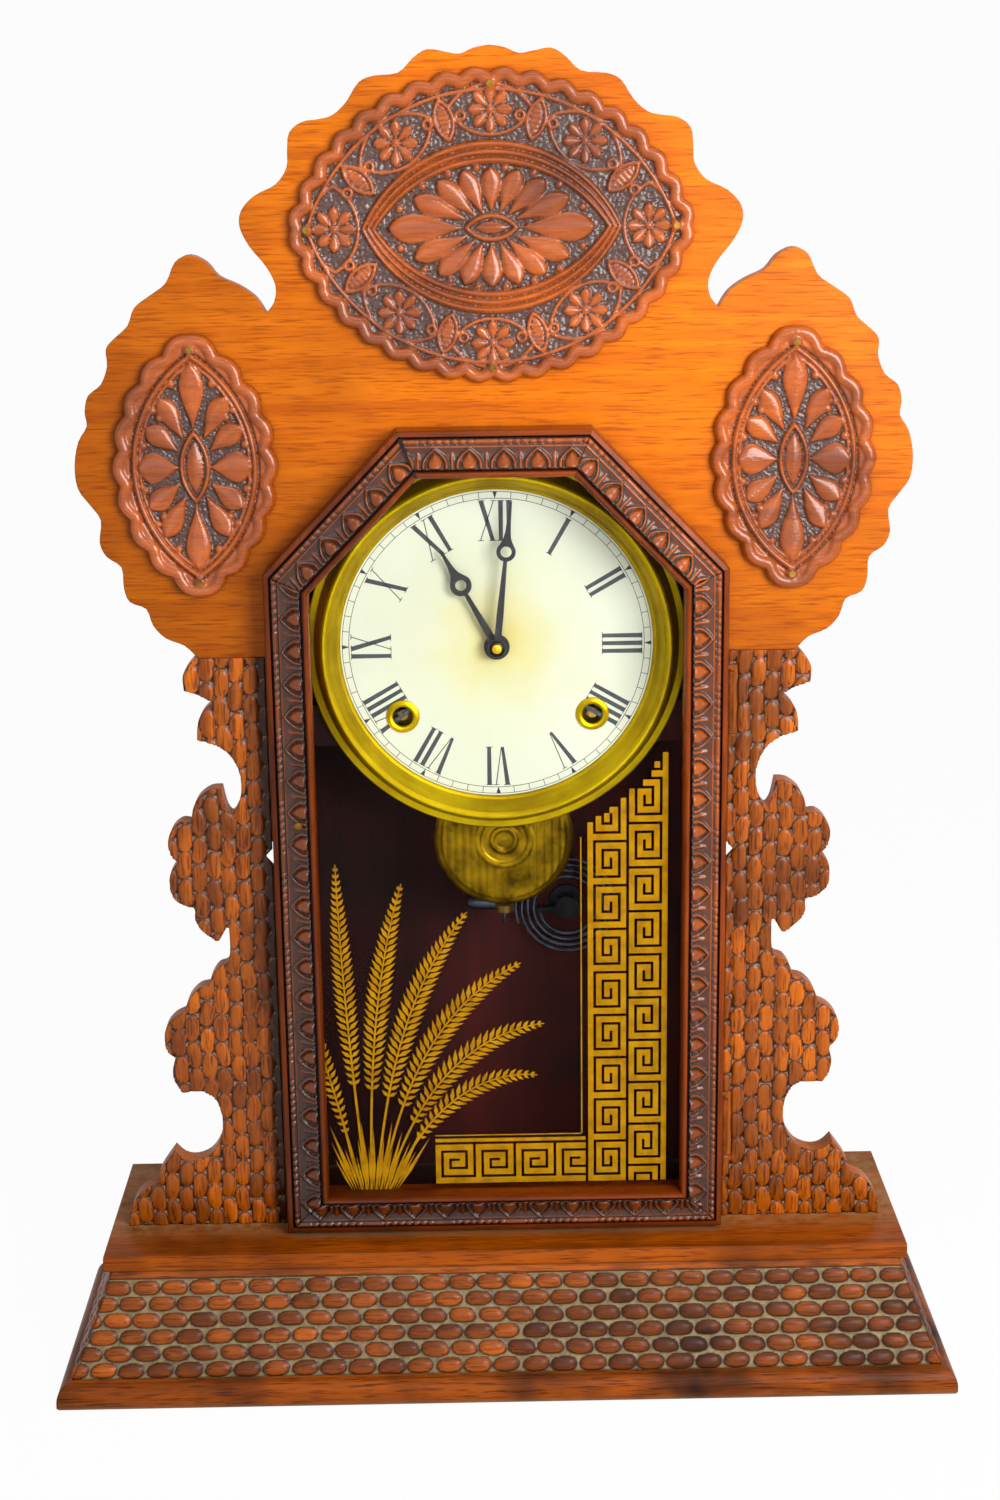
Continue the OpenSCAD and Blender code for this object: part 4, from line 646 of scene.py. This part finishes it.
# A height over the clipped grid, granulated where it is low and raised round the pins
def makeMedallion(name, given, heightOf, seed, node):
    outline = scallopedLens(given["a"], given["b"], given["lobes"], given["swell"], given["lobes"] * 12)
    points, faces, rimDepth = clippedGrid(*loopSegments(outline), given["pitch"])
    x, z = points.T
    shape = heightOf(x, z, rimDepth, given)
    grit = np.random.default_rng(seed).random(len(points))
    low = 1 - easeIn(shape, 0.1, 0.7)
    height = given["ground"] + shape + (grit - 0.5) * (1.1 * low + 0.08) * easeIn(rimDepth, 0.5, 2)
    for at in given["pins"]:
        gap = np.hypot(np.abs(x) - at[0], np.abs(z) - at[1])
        height = np.where(gap < 2.6, np.maximum(height, 4.96 - 0.9 * easeIn(gap, 1.1, 2.6)), height)
    height *= easeIn(rimDepth, -0.8, 0.9) ** 0.5
    # Low ground takes the groove colour as painted shade, with dust over it
    recess = np.clip(1 - shape / 1.15, 0, 1) * easeIn(rimDepth, 0.5, 2) * (0.5 + 0.8 * grit)
    middle, level = given["centre"]
    if given.get("upright"):      # one on each side
        x, z = np.concatenate([-middle - z, middle - z]), np.tile(level + x, 2)
        faces = np.vstack([faces, faces + len(points)])
        height, recess, grit = (np.tile(value, 2) for value in (height, recess, grit))
    else:
        x, z = middle + x, level + z
    piece = addShell(name, pointsAt(x, panelFront - height, z), pointsAt(x, panelFront, z), faces, "carvedOak",
                     "case", "dark_oak", recess=recess, tone=grit)
    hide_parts(node)


makeMedallion("crestMedallionCarving", crestCarving, crestHeight, 4, "crest_medallion")
makeMedallion("sideMedallionCarvings", sideCarving, sideHeight, 7, "side_medallions")


# The edges of a node's flat face at one depth, as segments in millimetres
def faceSegments(nodeName, y):
    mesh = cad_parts[nodeName].data
    mesh.calc_loop_triangles()
    points = np.empty(len(mesh.vertices) * 3)
    mesh.vertices.foreach_get("co", points)
    points = points.reshape(-1, 3) / mm
    corners = np.empty(len(mesh.loop_triangles) * 3, np.int64)
    mesh.loop_triangles.foreach_get("vertices", corners)
    corners = corners.reshape(-1, 3)
    flat = corners[(np.abs(points[corners][:, :, 1] - y) < 0.002).all(1)]
    plan, same = np.unique(np.round(points[:, [0, 2]], 3), axis=0, return_inverse=True)
    same = same.reshape(-1)
    edges = np.sort(np.stack([same[flat], same[np.roll(flat, -1, axis=1)]], -1).reshape(-1, 2), axis=1)
    edges, uses = np.unique(edges, axis=0, return_counts=True)
    edges = edges[(uses == 1) & (edges[:, 0] != edges[:, 1])]
    return plan[edges[:, 0]], plan[edges[:, 1]]


# Studs on the wings. The pierced diamond is drawn in by hole; hinges are kept clear out to hingeWide
wingStuds = dict(pitch=0.8, clear=95.4, diamond=(95, 231), diamondReach=9, hole=0.62, hinges=(105, 296.4),
                 hingeHigh=14.5, hingeWide=99.4, column=6.2, row=12.3, fill=1.0, rise=1.3)


# Height is 0.12 + rise dome (0.82 + 0.18 up), in rows that sway a little
def makeWingStuds(name, nodeName, side, given, seed):
    starts, ends = faceSegments(nodeName, panelFront)
    middle = np.array([side * given["diamond"][0], given["diamond"][1]])
    for corners in (starts, ends):
        near = np.hypot(*(corners - middle).T) < given["diamondReach"]
        corners[near] = middle + (corners[near] - middle) * given["hole"]
    points, faces = clippedGrid(starts, ends, given["pitch"])[:2]
    away = side * points[:, 0]
    keep = (away[faces] > given["clear"]).all(1)
    for hinge in given["hinges"] if side > 0 else ():
        near = (np.abs(points[:, 1] - hinge) < given["hingeHigh"]) & (away < given["hingeWide"])
        keep &= ~near[faces].any(1)
    used, inverse = np.unique(faces[keep], return_inverse=True)
    x, z = points[used].T
    swayX = x + 0.5 * np.sin(z * 0.17 + 1.3) + 0.25 * np.sin(z * 0.53)
    swayZ = z + 0.8 * np.sin(x * 0.21)
    dome, tone, up = studField(swayZ, swayX, given["row"], given["column"], given["fill"], seed)[:3]
    height = 0.12 + given["rise"] * dome * (0.82 + 0.18 * up)
    # Pale dust and a painted highlight at each stud's top end; the ground between studs takes the groove colour as
    # painted shade
    topDustAndHighlight = easeIn(up, 0.5, 0.8) * (1 - easeIn(dome, 0.3, 0.8))
    recess = np.clip(0.76 * (1 - easeIn(dome, 0.0, 0.62)) + 0.4 * topDustAndHighlight, 0, 1)
    # Painted shadow: the door's shadow on the left wing, strongest beside the door
    if side < 0:      # the left wing is darker beside the door
        tone = np.maximum(tone, 2.2 - 2.2 * easeIn(-x, 96.5, 104))
    addShell(name, pointsAt(x, panelFront - height, z), pointsAt(x, panelFront, z), inverse.reshape(-1, 4),
             "wingStudOak", "case", "oak", recess=recess, tone=tone)


makeWingStuds("leftWingStuds", "left_wing", -1, wingStuds, 3)
makeWingStuds("rightWingStuds", "right_wing", 1, wingStuds, 8)


# The flared base in millimetres: band is the plain strip above six rows of studs
skirt = dict(height=43, foot=11, flare=17, halfWide=169.8, frontY=-33.6, backY=57, band=4.3, rows=6,
             stud=12.4, fill=0.86, rise=1.5, pitch=0.85)


# How far the skirt stands out at a share of its height: flare (0.75 (1 - share) + 0.25 (1 - share)^2)
def skirtOut(share, given):
    return given["flare"] * (0.75 * (1 - share) + 0.25 * (1 - share) ** 2)


# Rows are walked along the flare from its top edge; heights stand square to it. Side 0 is the front
def makeSkirtStuds(name, given, side, seed):
    steps = np.linspace(0, 1, 400)
    out = skirtOut(1 - steps, given)
    path = np.concatenate([[0], np.cumsum(np.hypot(np.diff(out), np.diff(steps) * given["height"]))])
    rows = int(path[-1] / given["pitch"])
    walked = np.linspace(0.4, path[-1] - 0.15, rows)
    share = 1 - np.interp(walked, path, steps)
    out = skirtOut(share, given)
    slope = np.gradient(out, share * given["height"])
    normalOut, normalUp = 1 / np.hypot(1, slope), -slope / np.hypot(1, slope)
    if side:
        near, far = given["frontY"] - out, np.full(rows, given["backY"] - 0.2)
    else:
        near, far = -given["halfWide"] - out, given["halfWide"] + out
    columns = int((far - near).max() / given["pitch"])
    along = near + np.linspace(0, 1, columns)[:, None] * (far - near)
    across = walked - given["band"]
    inBand = across < 0
    rowHigh = (path[-1] - given["band"]) / given["rows"]
    dome, tone, _, down, reach = studField(along + 0.4 * np.sin(across * 0.5), across, given["stud"], rowHigh,
                                           given["fill"], seed)
    tone = np.where(inBand, 0.3, tone) * (1 - 0.4 * easeIn(down, -0.1, 0.6))
    height = np.where(inBand, 0.12 + 0.5 * easeIn(-across, 0.2, 0.8), 0.1 + given["rise"] * dome)
    # Painted shade round each stud, reaching further under it as a painted shadow; dust fills the middle of the
    # gaps
    ground = 0.66 * easeIn(reach, 0.6, 1.0) + 0.34 * easeIn(reach, 1.0, 1.55 + 0.4 * down)
    recess = np.where(inBand, 1 - easeIn(-across, 0.1, 0.9), ground)
    level = given["foot"] + share * given["height"]
    outward, upward, sunk = out + height * normalOut, level + height * normalUp, out - 0.4
    if side:
        front = pointsAt(side * (given["halfWide"] + outward), along, upward)
        back = pointsAt(side * (given["halfWide"] + sunk), along, level)
    else:
        front = pointsAt(along, given["frontY"] - outward, upward)
        back = pointsAt(along, given["frontY"] - sunk, level)
    faces = gridFaces(columns, rows)
    if side >= 0:
        faces = faces[:, ::-1]
    addShell(name, front, back, faces, "skirtStudOak", "case", "oak", recess=recess, tone=tone)


for skirtName, side in (("frontSkirtStuds", 0), ("leftSkirtStuds", -1), ("rightSkirtStuds", 1)):
    makeSkirtStuds(skirtName, skirt, side, 11 + side)


# Egg and dart, bead and reel round the door.
# Start is the phase of the eggs and the place of a reel, per member
doorCarving = dict(
    halfWide=94.6, low=62.7, high=411.7, shoulder=354.3, halfTop=39.1, back=-5.8, thick=19.4,
    egg=13.65, eggAt=12.7, step=0.5, across=0.42, bead=3.2, reel=8.8,
    start=dict(Bottom=(0.35, 5.0), Right=(0.9, 9.0), UpperRight=(0.3, 12.0), Top=(0.75, 3.6),
    UpperLeft=(0.6, -4.0), Left=(0.9, 6.4)))
# The moulding's section: distance in from the door's edge, and depth below its highest line
sectionAcross = np.array([2.7, 2.95, 3.1, 3.6, 4.2, 4.8, 5.3, 5.45, 5.6, 6.6, 9.0, 11.5, 13.5, 14.9])
sectionBelow = np.array([8.15, 6.6, 6.0, 5.5, 5.35, 5.5, 6.0, 5.6, 4.8, 4.4, 4.8, 4.3, 3.2, 1.6])


# Pointed arches: gap = |off| + 4.9 (back / 5.9)^1.7 keeps one value along each arch
def carvingRise(along, across, given, phase, reelAt):
    cell = along / given["egg"] + phase
    off = np.abs(cell - np.floor(cell) - 0.5) * given["egg"]
    back = given["eggAt"] - across
    gap = off + 4.9 * (np.clip(back, 0, None) / 5.9) ** 1.7
    closing = np.hypot(gap, 1.25 * np.clip(-back, 0, None))
    egg = 2.2 * roundTop((closing / 3.0) ** 2)
    dart = 1.1 * roundTop((given["egg"] / 2 - off) / (0.25 + 0.1 * (across - 8))) * (across > 8.5)
    rise = highest(egg, ridge(gap, 4.6, 1.5, 2.0), dart, ridge(across, 6.1, 0.9, 0.5))
    rise *= easeIn(across, 5.6, 5.9) * (1 - easeIn(across, 14.3, 14.8))
    span = given["bead"] * 7 + given["reel"]
    place = np.mod(along - reelAt + given["reel"] / 2, span) - given["reel"]
    beadOff = np.mod(place, given["bead"]) / given["bead"] * 2 - 1
    bead = np.where(place > 0, roundTop(np.abs(beadOff) ** 2.4), 0.95)
    inBead = (across > 2.9) & (across < 5.5)
    beadRise = 0.95 * bead * roundTop(((across - 4.2) / 1.2) ** 2)
    drop = np.where(inBead, -0.75 * (1 - bead) * (across < 5.3), 0)
    # Painted shade: dark lines in the grooves beside each arch, along the edges, on the low ground and between the
    # beads
    lines = np.exp(-((gap - 3.5) / 0.62) ** 2) + np.exp(-((gap - 5.7) / 0.5) ** 2)
    lines = lines * (across > 6.6) + (across < 5.75) + 0.7 * (across > 14.2)
    low = np.clip(lines + 0.6 * (1 - easeIn(rise, 0.05, 0.7)), 0, 1)
    low = np.where(inBead, 1 - bead * np.where(np.abs(across - 4.2) < 0.95, 1, 0), low)
    return np.where(inBead, beadRise + 0.4 + drop, rise + 0.06), low


# One piece per member, cut along the mitres; its ends stay low so that they meet
def makeDoorCarving(given):
    wide, low, high = given["halfWide"], given["low"], given["high"]
    corners = np.array([(-wide, low), (wide, low), (wide, given["shoulder"]), (given["halfTop"], high),
                        (-given["halfTop"], high), (-wide, given["shoulder"])])
    ways = np.roll(corners, -1, axis=0) - corners
    ways /= np.hypot(*ways.T)[:, None]
    inward = np.column_stack([-ways[:, 1], ways[:, 0]])
    before = np.roll(inward, 1, axis=0)
    mitres = (before + inward) / (1 + (before * inward).sum(1))[:, None]
    rows = int((sectionAcross[-1] - sectionAcross[0]) / given["across"])
    across = np.linspace(sectionAcross[0], sectionAcross[-1], rows)
    base = given["back"] - given["thick"] + np.interp(across, sectionAcross, sectionBelow)
    for i, (label, start) in enumerate(given["start"].items()):
        j = (i + 1) % 6
        columns = int(np.hypot(*(corners[j] - corners[i])) / given["step"])
        left = corners[i] + across[:, None] * mitres[i]
        right = corners[j] + across[:, None] * mitres[j]
        plan = left[None] + np.linspace(0, 1, columns)[:, None, None] * (right - left)[None]
        along = (plan - (corners[i] + corners[j]) / 2) @ ways[i]
        rise, recess = carvingRise(along, across, given, *start)
        rise[[0, -1]] = 0.06
        x, z = plan[..., 0], plan[..., 1]
        addShell("doorCarving" + label, pointsAt(x, base - rise, z), pointsAt(x, base + 0.35, z),
                 gridFaces(columns, rows), "doorCarvedOak", "door", "dark_oak", recess=recess,
                 tone=scatter(np.floor(along / given["egg"]), i))


makeDoorCarving(doorCarving)


# Dark line where one mitre of the door has opened, laid along the moulding's section: a near-black strip that
# paints the shade in the open gap
def makeOpenMitre(given, outer, inner):
    across = np.linspace(0.4, 18.2, 60)
    fullAcross = np.concatenate([[0.3, 2.5], sectionAcross, [15.0, 15.6, 15.7, 16.1, 16.8, 17.6, 18.2, 18.5]])
    fullBelow = np.concatenate([[5.9, 8.2], sectionBelow, [4.6, 4.6, 2.0, 0.6, 0, 0.4, 1.4, 3.0]])
    proud = 0.2 + 1.2 * easeIn(across, 2.8, 3.2) * (1 - easeIn(across, 14.4, 15.0))
    front = given["back"] - given["thick"] + np.interp(across, fullAcross, fullBelow) - proud
    way = (np.array(inner, float) - outer) / 18.5
    off = leftOf(way) / np.hypot(*way)
    line = np.array(outer) + across[:, None] * way
    half = 0.85 - 0.25 * across[:, None] / 18.5 + 0.12 * np.sin(across[:, None] * 1.9)
    x, z = np.stack([line - off * half, line + off * half], 1).reshape(-1, 2).T
    depth = np.repeat(front, 2)
    addShell("openMitre", pointsAt(x, depth, z), pointsAt(x, depth + 1.6, z), gridFaces(len(across), 2),
             "crackShade", "door", "dark_oak", smooth=False)


makeOpenMitre(doorCarving, (-39.1, 411.7), (-31.3, 393.2))


# The printed dial: y of its front, radii of the figures' feet and of the two minute lines
dial = dict(centre=(0, dialHeight), front=6.6, inner=44.3, high=16.6, outerLine=64.7, innerLine=61.9)


# Flat four-cornered strokes (x, z) as thin closed plates between two depths, each moved back by its lift
def addPlates(name, corners, depths, lift, look, body, slotName):
    corners = np.array(corners, float)
    turned = np.cross(corners[:, 1] - corners[:, 0], corners[:, 2] - corners[:, 0]) < 0
    corners[turned] = corners[turned][:, ::-1]
    x, z = corners.reshape(-1, 2).T
    front, back = (pointsAt(x, depth + lift, z) for depth in depths)
    addShell(name, front, back, np.arange(len(x)).reshape(-1, 4), look, body, slotName, smooth=False)


# The four corners of a straight stroke
def strokeBar(start, end, width, endWidth=None):
    start, end = np.array(start, float), np.array(end, float)
    way = end - start
    way /= np.hypot(*way)
    off = leftOf(way)
    last = width if endWidth is None else endWidth
    return [start - off * width / 2, end - off * last / 2, end + off * last / 2, start + off * width / 2]


# A ring as short strokes: radius minus and plus half the width, all round
def ringStrokes(centre, radius, width, count):
    turns = np.linspace(0, 2 * math.pi, count + 1)
    rim = np.column_stack([np.sin(turns), np.cos(turns)])
    inner, outer = np.array(centre) + rim * (radius - width / 2), np.array(centre) + rim * (radius + width / 2)
    return np.stack([inner[:-1], inner[1:], outer[1:], outer[:-1]], 1)


# Per letter: width; stems (foot, top, both widths); serifs (from, to, 0 at the foot or 1 at the top)
letters = {
    "I": (3.3, [(1.65, 1.65, 1.65, 1.95)], [(0.2, 3.1, 0), (0.2, 3.1, 1)]),
    "V": (7.6, [(3.6, 1.5, 1.2, 1.95), (4.1, 6.4, 0.35, 0.45)], [(0.2, 3.1, 1), (5.2, 7.5, 1)]),
    "X": (8.0, [(6.3, 1.5, 1.65, 1.95), (1.2, 6.7, 0.4, 0.4)],
          [(0.1, 2.5, 0), (4.8, 7.8, 0), (0.2, 3.1, 1), (5.5, 7.9, 1)]),
}


def numeralStrokes(text, high):
    at, strokes = -sum(letters[letter][0] for letter in text) / 2, []
    for letter in text:
        wide, stems, serifs = letters[letter]
        strokes += [((at + foot, 0), (at + top, high), *widths) for foot, top, *widths in stems]
        strokes += [((at + low, end * high), (at + far, end * high), 0.32, 0.32) for low, far, end in serifs]
        at += wide
    return strokes


def makeDialPrint(given):
    corners = []
    centre = np.array(given["centre"], float)
    for hour, text in enumerate(("XII", "I", "II", "III", "IIII", "V", "VI", "VII", "VIII", "IX", "X", "XI")):
        turn = math.radians(30 * hour)
        out, side = heading(turn), -leftOf(heading(turn))
        for stroke in numeralStrokes(text, given["high"]):
            corners.append([centre + side * x + out * (given["inner"] + z) for x, z in strokeBar(*stroke)])
        mark = [(-0.95, given["outerLine"]), (0.95, given["outerLine"]), (0.12, given["innerLine"] + 0.2),
                (-0.12, given["innerLine"] + 0.2)]
        corners.append([centre + side * x + out * z for x, z in mark])
    for minute in range(60):
        out = heading(math.radians(6 * minute))
        corners.append(strokeBar(centre + out * given["innerLine"], centre + out * given["outerLine"], 0.28))
    rings = [ringStrokes(centre, given[line], 0.26, 240) for line in ("outerLine", "innerLine")]
    addPlates("dialPrint", np.vstack([corners, *rings]), (given["front"] - 0.05, given["front"] - 0.01), 0,
              "printBlack", "case", "hand_black")


makeDialPrint(dial)


# Gilt pattern behind the door's glass.
# Clear is the height and radius of the round field that the key band leaves free
gilding = dict(depths=(-13.97, -13.9), left=36.8, low=82.6, pitchX=3.5, pitchZ=3.9, gap=1.2, rows=56,
               bandFrom=-31.5, lineEnd=240, clear=(319.5, 81.5))
# One turn of the key: places joined in order, in columns out from the rail and rows along it
keyTurn = [(0, 0), (4, 0), (4, 4), (1, 4), (1, 1), (3, 1), (3, 3), (2, 3), (2, 2)]
# Root, lean, length, bend and reach of the leaves
fronds = [((-62, 80), -13, 92, -4, 5.5), ((-60, 80), -5, 150, 4, 7), ((-58, 80), 1, 142, 16, 8),
          ((-56, 80), 7, 136, 32, 8.5), ((-54, 80), 13, 126, 52, 8.5), ((-52, 80), 20, 110, 66, 8),
          ((-50, 80), 26, 90, 74, 7)]


# Gold rectangles of a key band, each once: every place, and every gap that the key bridges.
# An upright band has keys on both sides; a level one has them on one side, with its axes swapped
def keyBand(corner, across, along, columns, rows, upright, given):
    joins = {((0, row), (0, row + 1)) for row in range(rows - 1)}
    if upright:
        joins |= {((columns - 1, row), (columns - 1, row + 1)) for row in range(rows - 1)}
    for turn in range(-1, rows // 5 + 2):
        for side in ((0, 1) if upright else (0,)):
            placed = [(columns - 1 - a if side else a, turn * 5 + 2 * side + b) for a, b in keyTurn]
            for start, end in zip(placed[:-1], placed[1:]):
                steps = max(abs(end[0] - start[0]), abs(end[1] - start[1]))
                run = [tuple(a + (b - a) * step // steps for a, b in zip(start, end))
                       for step in range(steps + 1)]
                joins |= {tuple(sorted(pair)) for pair in zip(run[:-1], run[1:])
                          if all(0 <= place[1] < rows for place in pair)}
    line = np.array([across, along]) - given["gap"]
    boxes = [(np.array(place) * [across, along], line) for place in np.ndindex(columns, rows)]
    for near, far in joins:
        way = np.array(far) - near
        boxes.append((np.array(near) * [across, along] + way * line, np.where(way > 0, given["gap"], line)))
    strips = []
    for low, size in boxes:
        low, high = (value if upright else value[::-1] for value in (low, low + size))
        low, high = corner + low, corner + high
        if math.hypot((low[0] + high[0]) / 2, (low[1] + high[1]) / 2 - given["clear"][0]) > given["clear"][1]:
            strips.append([low, (high[0], low[1]), high, (low[0], high[1])])
    return strips


# Four corners, widest at a share of the way from the root
def leafPlate(root, way, off, share):
    middle = root + way * share
    return [root, middle - off, root + way, middle + off]


# A fern frond: pointed leaflets in pairs along a stem that turns by bend share^1.8
def frondStrokes(start, lean, length, bend, reach):
    count = int(length / 3.1)
    share = np.arange(count + 1) / count
    turn = np.radians(lean + bend * share ** 1.8)
    step = np.column_stack([np.sin(turn), np.cos(turn)]) * length / count
    stem = np.array(start, float) + np.vstack([[0, 0], np.cumsum(step[:-1], axis=0)])
    stalks = [strokeBar(stem[k], stem[k + 1], 1.1 - 0.6 * share[k], 1.1 - 0.6 * share[k + 1])
              for k in range(count)]
    leaves = []
    for k in range(int(count * 0.34), count):
        size = reach * math.sin(math.pi * (0.16 + 0.8 * (share[k] - 0.34) / 0.66)) ** 0.8
        for side in (-1, 1):
            out = heading(turn[k] + side * math.radians(58 - 22 * share[k]))
            leaves.append(leafPlate(stem[k], out * size, leftOf(out) * (0.5 + 0.07 * size), 0.45))
    return stalks, leaves


# Each frond and blade of grass has a depth of its own, so that no two plates meet
def makeGilding(given):
    plates = keyBand(np.array([given["left"], given["low"]]), given["pitchX"], given["pitchZ"], 10,
                     given["rows"], True, given)
    length = int((given["left"] - given["gap"] - given["bandFrom"]) / given["pitchX"])
    corner = np.array([given["left"] - length * given["pitchX"], given["low"]])
    plates += keyBand(corner, given["pitchZ"], given["pitchX"], 5, length, False, given)
    top = given["low"] + 5 * given["pitchZ"]
    near = given["left"] - given["gap"]
    plates.append([(corner[0], top), (near, top), (near, top + 1.6), (corner[0], top + 1.6)])
    plates.append(strokeBar((near - 1.6, top + 3.4), (near - 1.6, given["lineEnd"]), 0.5))
    plates.append(strokeBar((corner[0], top + 3.1), (near - 1.9, top + 3.1), 0.5))
    levels = [0] * len(plates)
    for order, frond in enumerate(fronds):
        stem, leaves = frondStrokes(*frond)
        plates += stem + leaves
        levels += [order * 0.016 + 0.006] * len(stem) + [order * 0.016 + 0.012] * len(leaves)
    for blade in range(20):
        tip = heading(math.radians(-26 + 3.0 * blade)) * (17 + 16 * (blade * 7 % 5) / 4)
        plates.append(leafPlate(np.array([-66 + 1.0 * blade, 79.5]), tip, leftOf(tip) * 0.03, 0.4))
        levels.append(0.17 + 0.004 * blade)
    addPlates("glassGilding", plates, given["depths"], np.repeat(levels, 4), "gilt", "door", "glass")


makeGilding(gilding)


# The bob's pressed face.
# The profile is the solid bob's: radius and height
bobFace = dict(centre=(2, 232), y=13.0, reach=27.2, pitch=0.45, flute=3.3,
               profile=[(0, 3.9), (3.6, 3.6), (4.4, 4.5), (5.6, 4.5), (6.4, 3.6), (9.6, 3.6), (10.4, 4.5),
                        (12, 4.5), (13, 3.7), (27, 2.25), (30, 0.6)])


# Upright flutes (0.5 + 0.5 cos)^0.7 outside a ringed middle
def makeBobFace(given):
    turns = np.linspace(0, 2 * math.pi, 180, endpoint=False)
    rim = np.column_stack([np.cos(turns), np.sin(turns)]) * given["reach"]
    points, faces, depth = clippedGrid(*loopSegments(rim), given["pitch"])
    x, z = points.T
    gap = np.hypot(x, z)
    flutes = (0.5 + 0.5 * np.cos(2 * np.pi * x / given["flute"])) ** 0.7
    ringed = 0.5 + 0.5 * np.cos(2 * np.pi * gap / 3.0)
    rise = np.where(gap > 12.6, 0.42 * flutes, 0.12 * ringed) * easeIn(depth, 0, 1.2) + 0.02
    base = given["y"] - np.interp(gap, *np.array(given["profile"]).T)
    x, z = x + given["centre"][0], z + given["centre"][1]
    addShell("bobFace", pointsAt(x, base - rise, z), pointsAt(x, base + 0.2, z), faces, "bobBrass",
             "pendulum", "old_brass")


makeBobFace(bobFace)


# 1 for rays that show the background as it is: to the camera, in a gloss or through glass
def directRays(tree):
    path = tree.nodes.new("ShaderNodeLightPath").outputs
    glossy = mathOf(tree, "MAXIMUM", path["Is Glossy Ray"], path["Is Transmission Ray"])
    return mathOf(tree, "MAXIMUM", path["Is Camera Ray"], glossy)


# In metres: a floor that bends up into a wall behind; seen is the white that direct rays meet
paleFloor = dict(halfWide=3.4, front=-3.4, back=2.8, rise=2.4, bend=0.6, seen=0.96)


def makeStage(given):
    bend = given["bend"]
    along = np.linspace(-given["halfWide"], given["halfWide"], 9)[:, None]
    curve = [(given["back"] + bend * math.sin(turn), bend - bend * math.cos(turn))
             for turn in np.linspace(0, math.pi / 2, 13)]
    profile = np.array([(given["front"], 0.0), (0.0, 0.0), *curve, (given["back"] + bend, given["rise"])])
    mesh = bpy.data.meshes.new("paleFloor")
    mesh.from_pydata(pointsAt(along, *profile.T).tolist(), [], gridFaces(len(along), len(profile)).tolist())
    mesh.polygons.foreach_set("use_smooth", [True] * len(mesh.polygons))
    stage = bpy.data.objects.new("paleFloor", mesh)
    bpy.context.scene.collection.objects.link(stage)
    material, tree, shader, place = startMaterial("palePaper")
    tint = rampOf(tree, noiseOf(tree, place, 3.0), [(0.3, (0.86, 0.86, 0.85)), (0.7, (0.9, 0.9, 0.89))])
    setInputs(tree, shader, {"Base Color": tint, "Roughness": 0.9})
    white = addNode(tree, "ShaderNodeEmission", {"Color": (1, 1, 1, 1), "Strength": 1.0})
    setSurface(tree, productOf(tree, directRays(tree), given["seen"]), shader, white)
    mesh.materials.append(material)


def placeObject(name, data, right, up, back, place):
    holder = bpy.data.objects.new(name, data)
    turn = np.eye(4)
    turn[:3] = np.column_stack([right, up, back, place])
    holder.matrix_world = Matrix(turn.tolist())
    bpy.context.scene.collection.objects.link(holder)
    return holder


# Places and sizes in metres, power in watts
lamps = {
    "keyPanel": dict(place=(0.5, -0.8, 0.6), aim=(0.02, 0, 0.33), size=(0.5, 0.5), power=11.4),
    "fillPanel": dict(place=(-0.3, -1.4, 0.6), aim=(0, 0, 0.28), size=(0.9, 0.9), power=3),
    "topPanel": dict(place=(0.1, -0.5, 1.4), aim=(0, 0, 0.3), size=(0.8, 0.5), power=3),
}


def addLamp(name, given):
    lamp = bpy.data.lights.new(name, "AREA")
    lamp.shape = "RECTANGLE"
    lamp.size, lamp.size_y = given["size"]
    lamp.energy = given["power"]
    back = np.array(given["place"], float) - np.array(given["aim"], float)
    back /= np.linalg.norm(back)
    side = np.cross((0, 0, 1), back)
    side /= np.linalg.norm(side)
    placeObject(name, lamp, side, np.cross(back, side), back, given["place"])


# Place in metres, angles in degrees, lens in millimetres
cameraSet = dict(place=(-0.009, -0.9464, 0.533), down=15.27, turn=0.59, roll=-0.75, lens=55.9)


def addCamera(given):
    down, turn, roll = (math.radians(given[key]) for key in ("down", "turn", "roll"))
    ahead = np.array([math.sin(turn) * math.cos(down), math.cos(turn) * math.cos(down), -math.sin(down)])
    right = np.array([math.cos(turn), -math.sin(turn), 0])
    up = np.cross(right, ahead)
    lens = bpy.data.cameras.new("photoCamera")
    lens.sensor_fit = "VERTICAL"
    lens.sensor_height = 36
    lens.lens = given["lens"]
    lens.clip_start = 0.01
    bpy.context.scene.camera = placeObject("photoCamera", lens, right * math.cos(roll) + up * math.sin(roll),
                                           up * math.cos(roll) - right * math.sin(roll), -ahead, given["place"])


def setWorld():
    world = bpy.data.worlds.new("softRoom")
    bpy.context.scene.world = world
    world.use_nodes = True
    tree = world.node_tree
    tree.nodes.clear()
    tree.nodes.new("ShaderNodeOutputWorld")
    room, white = (addNode(tree, "ShaderNodeBackground", {"Color": (1, 1, 1, 1), "Strength": strength})
                   for strength in (0.22, 1.0))
    setSurface(tree, directRays(tree), room, white)


makeStage(paleFloor)
addCamera(cameraSet)
setWorld()
for lampName, lampGiven in lamps.items():
    addLamp(lampName, lampGiven)
bpy.context.scene.view_settings.view_transform = "Standard"
print("stage ready")
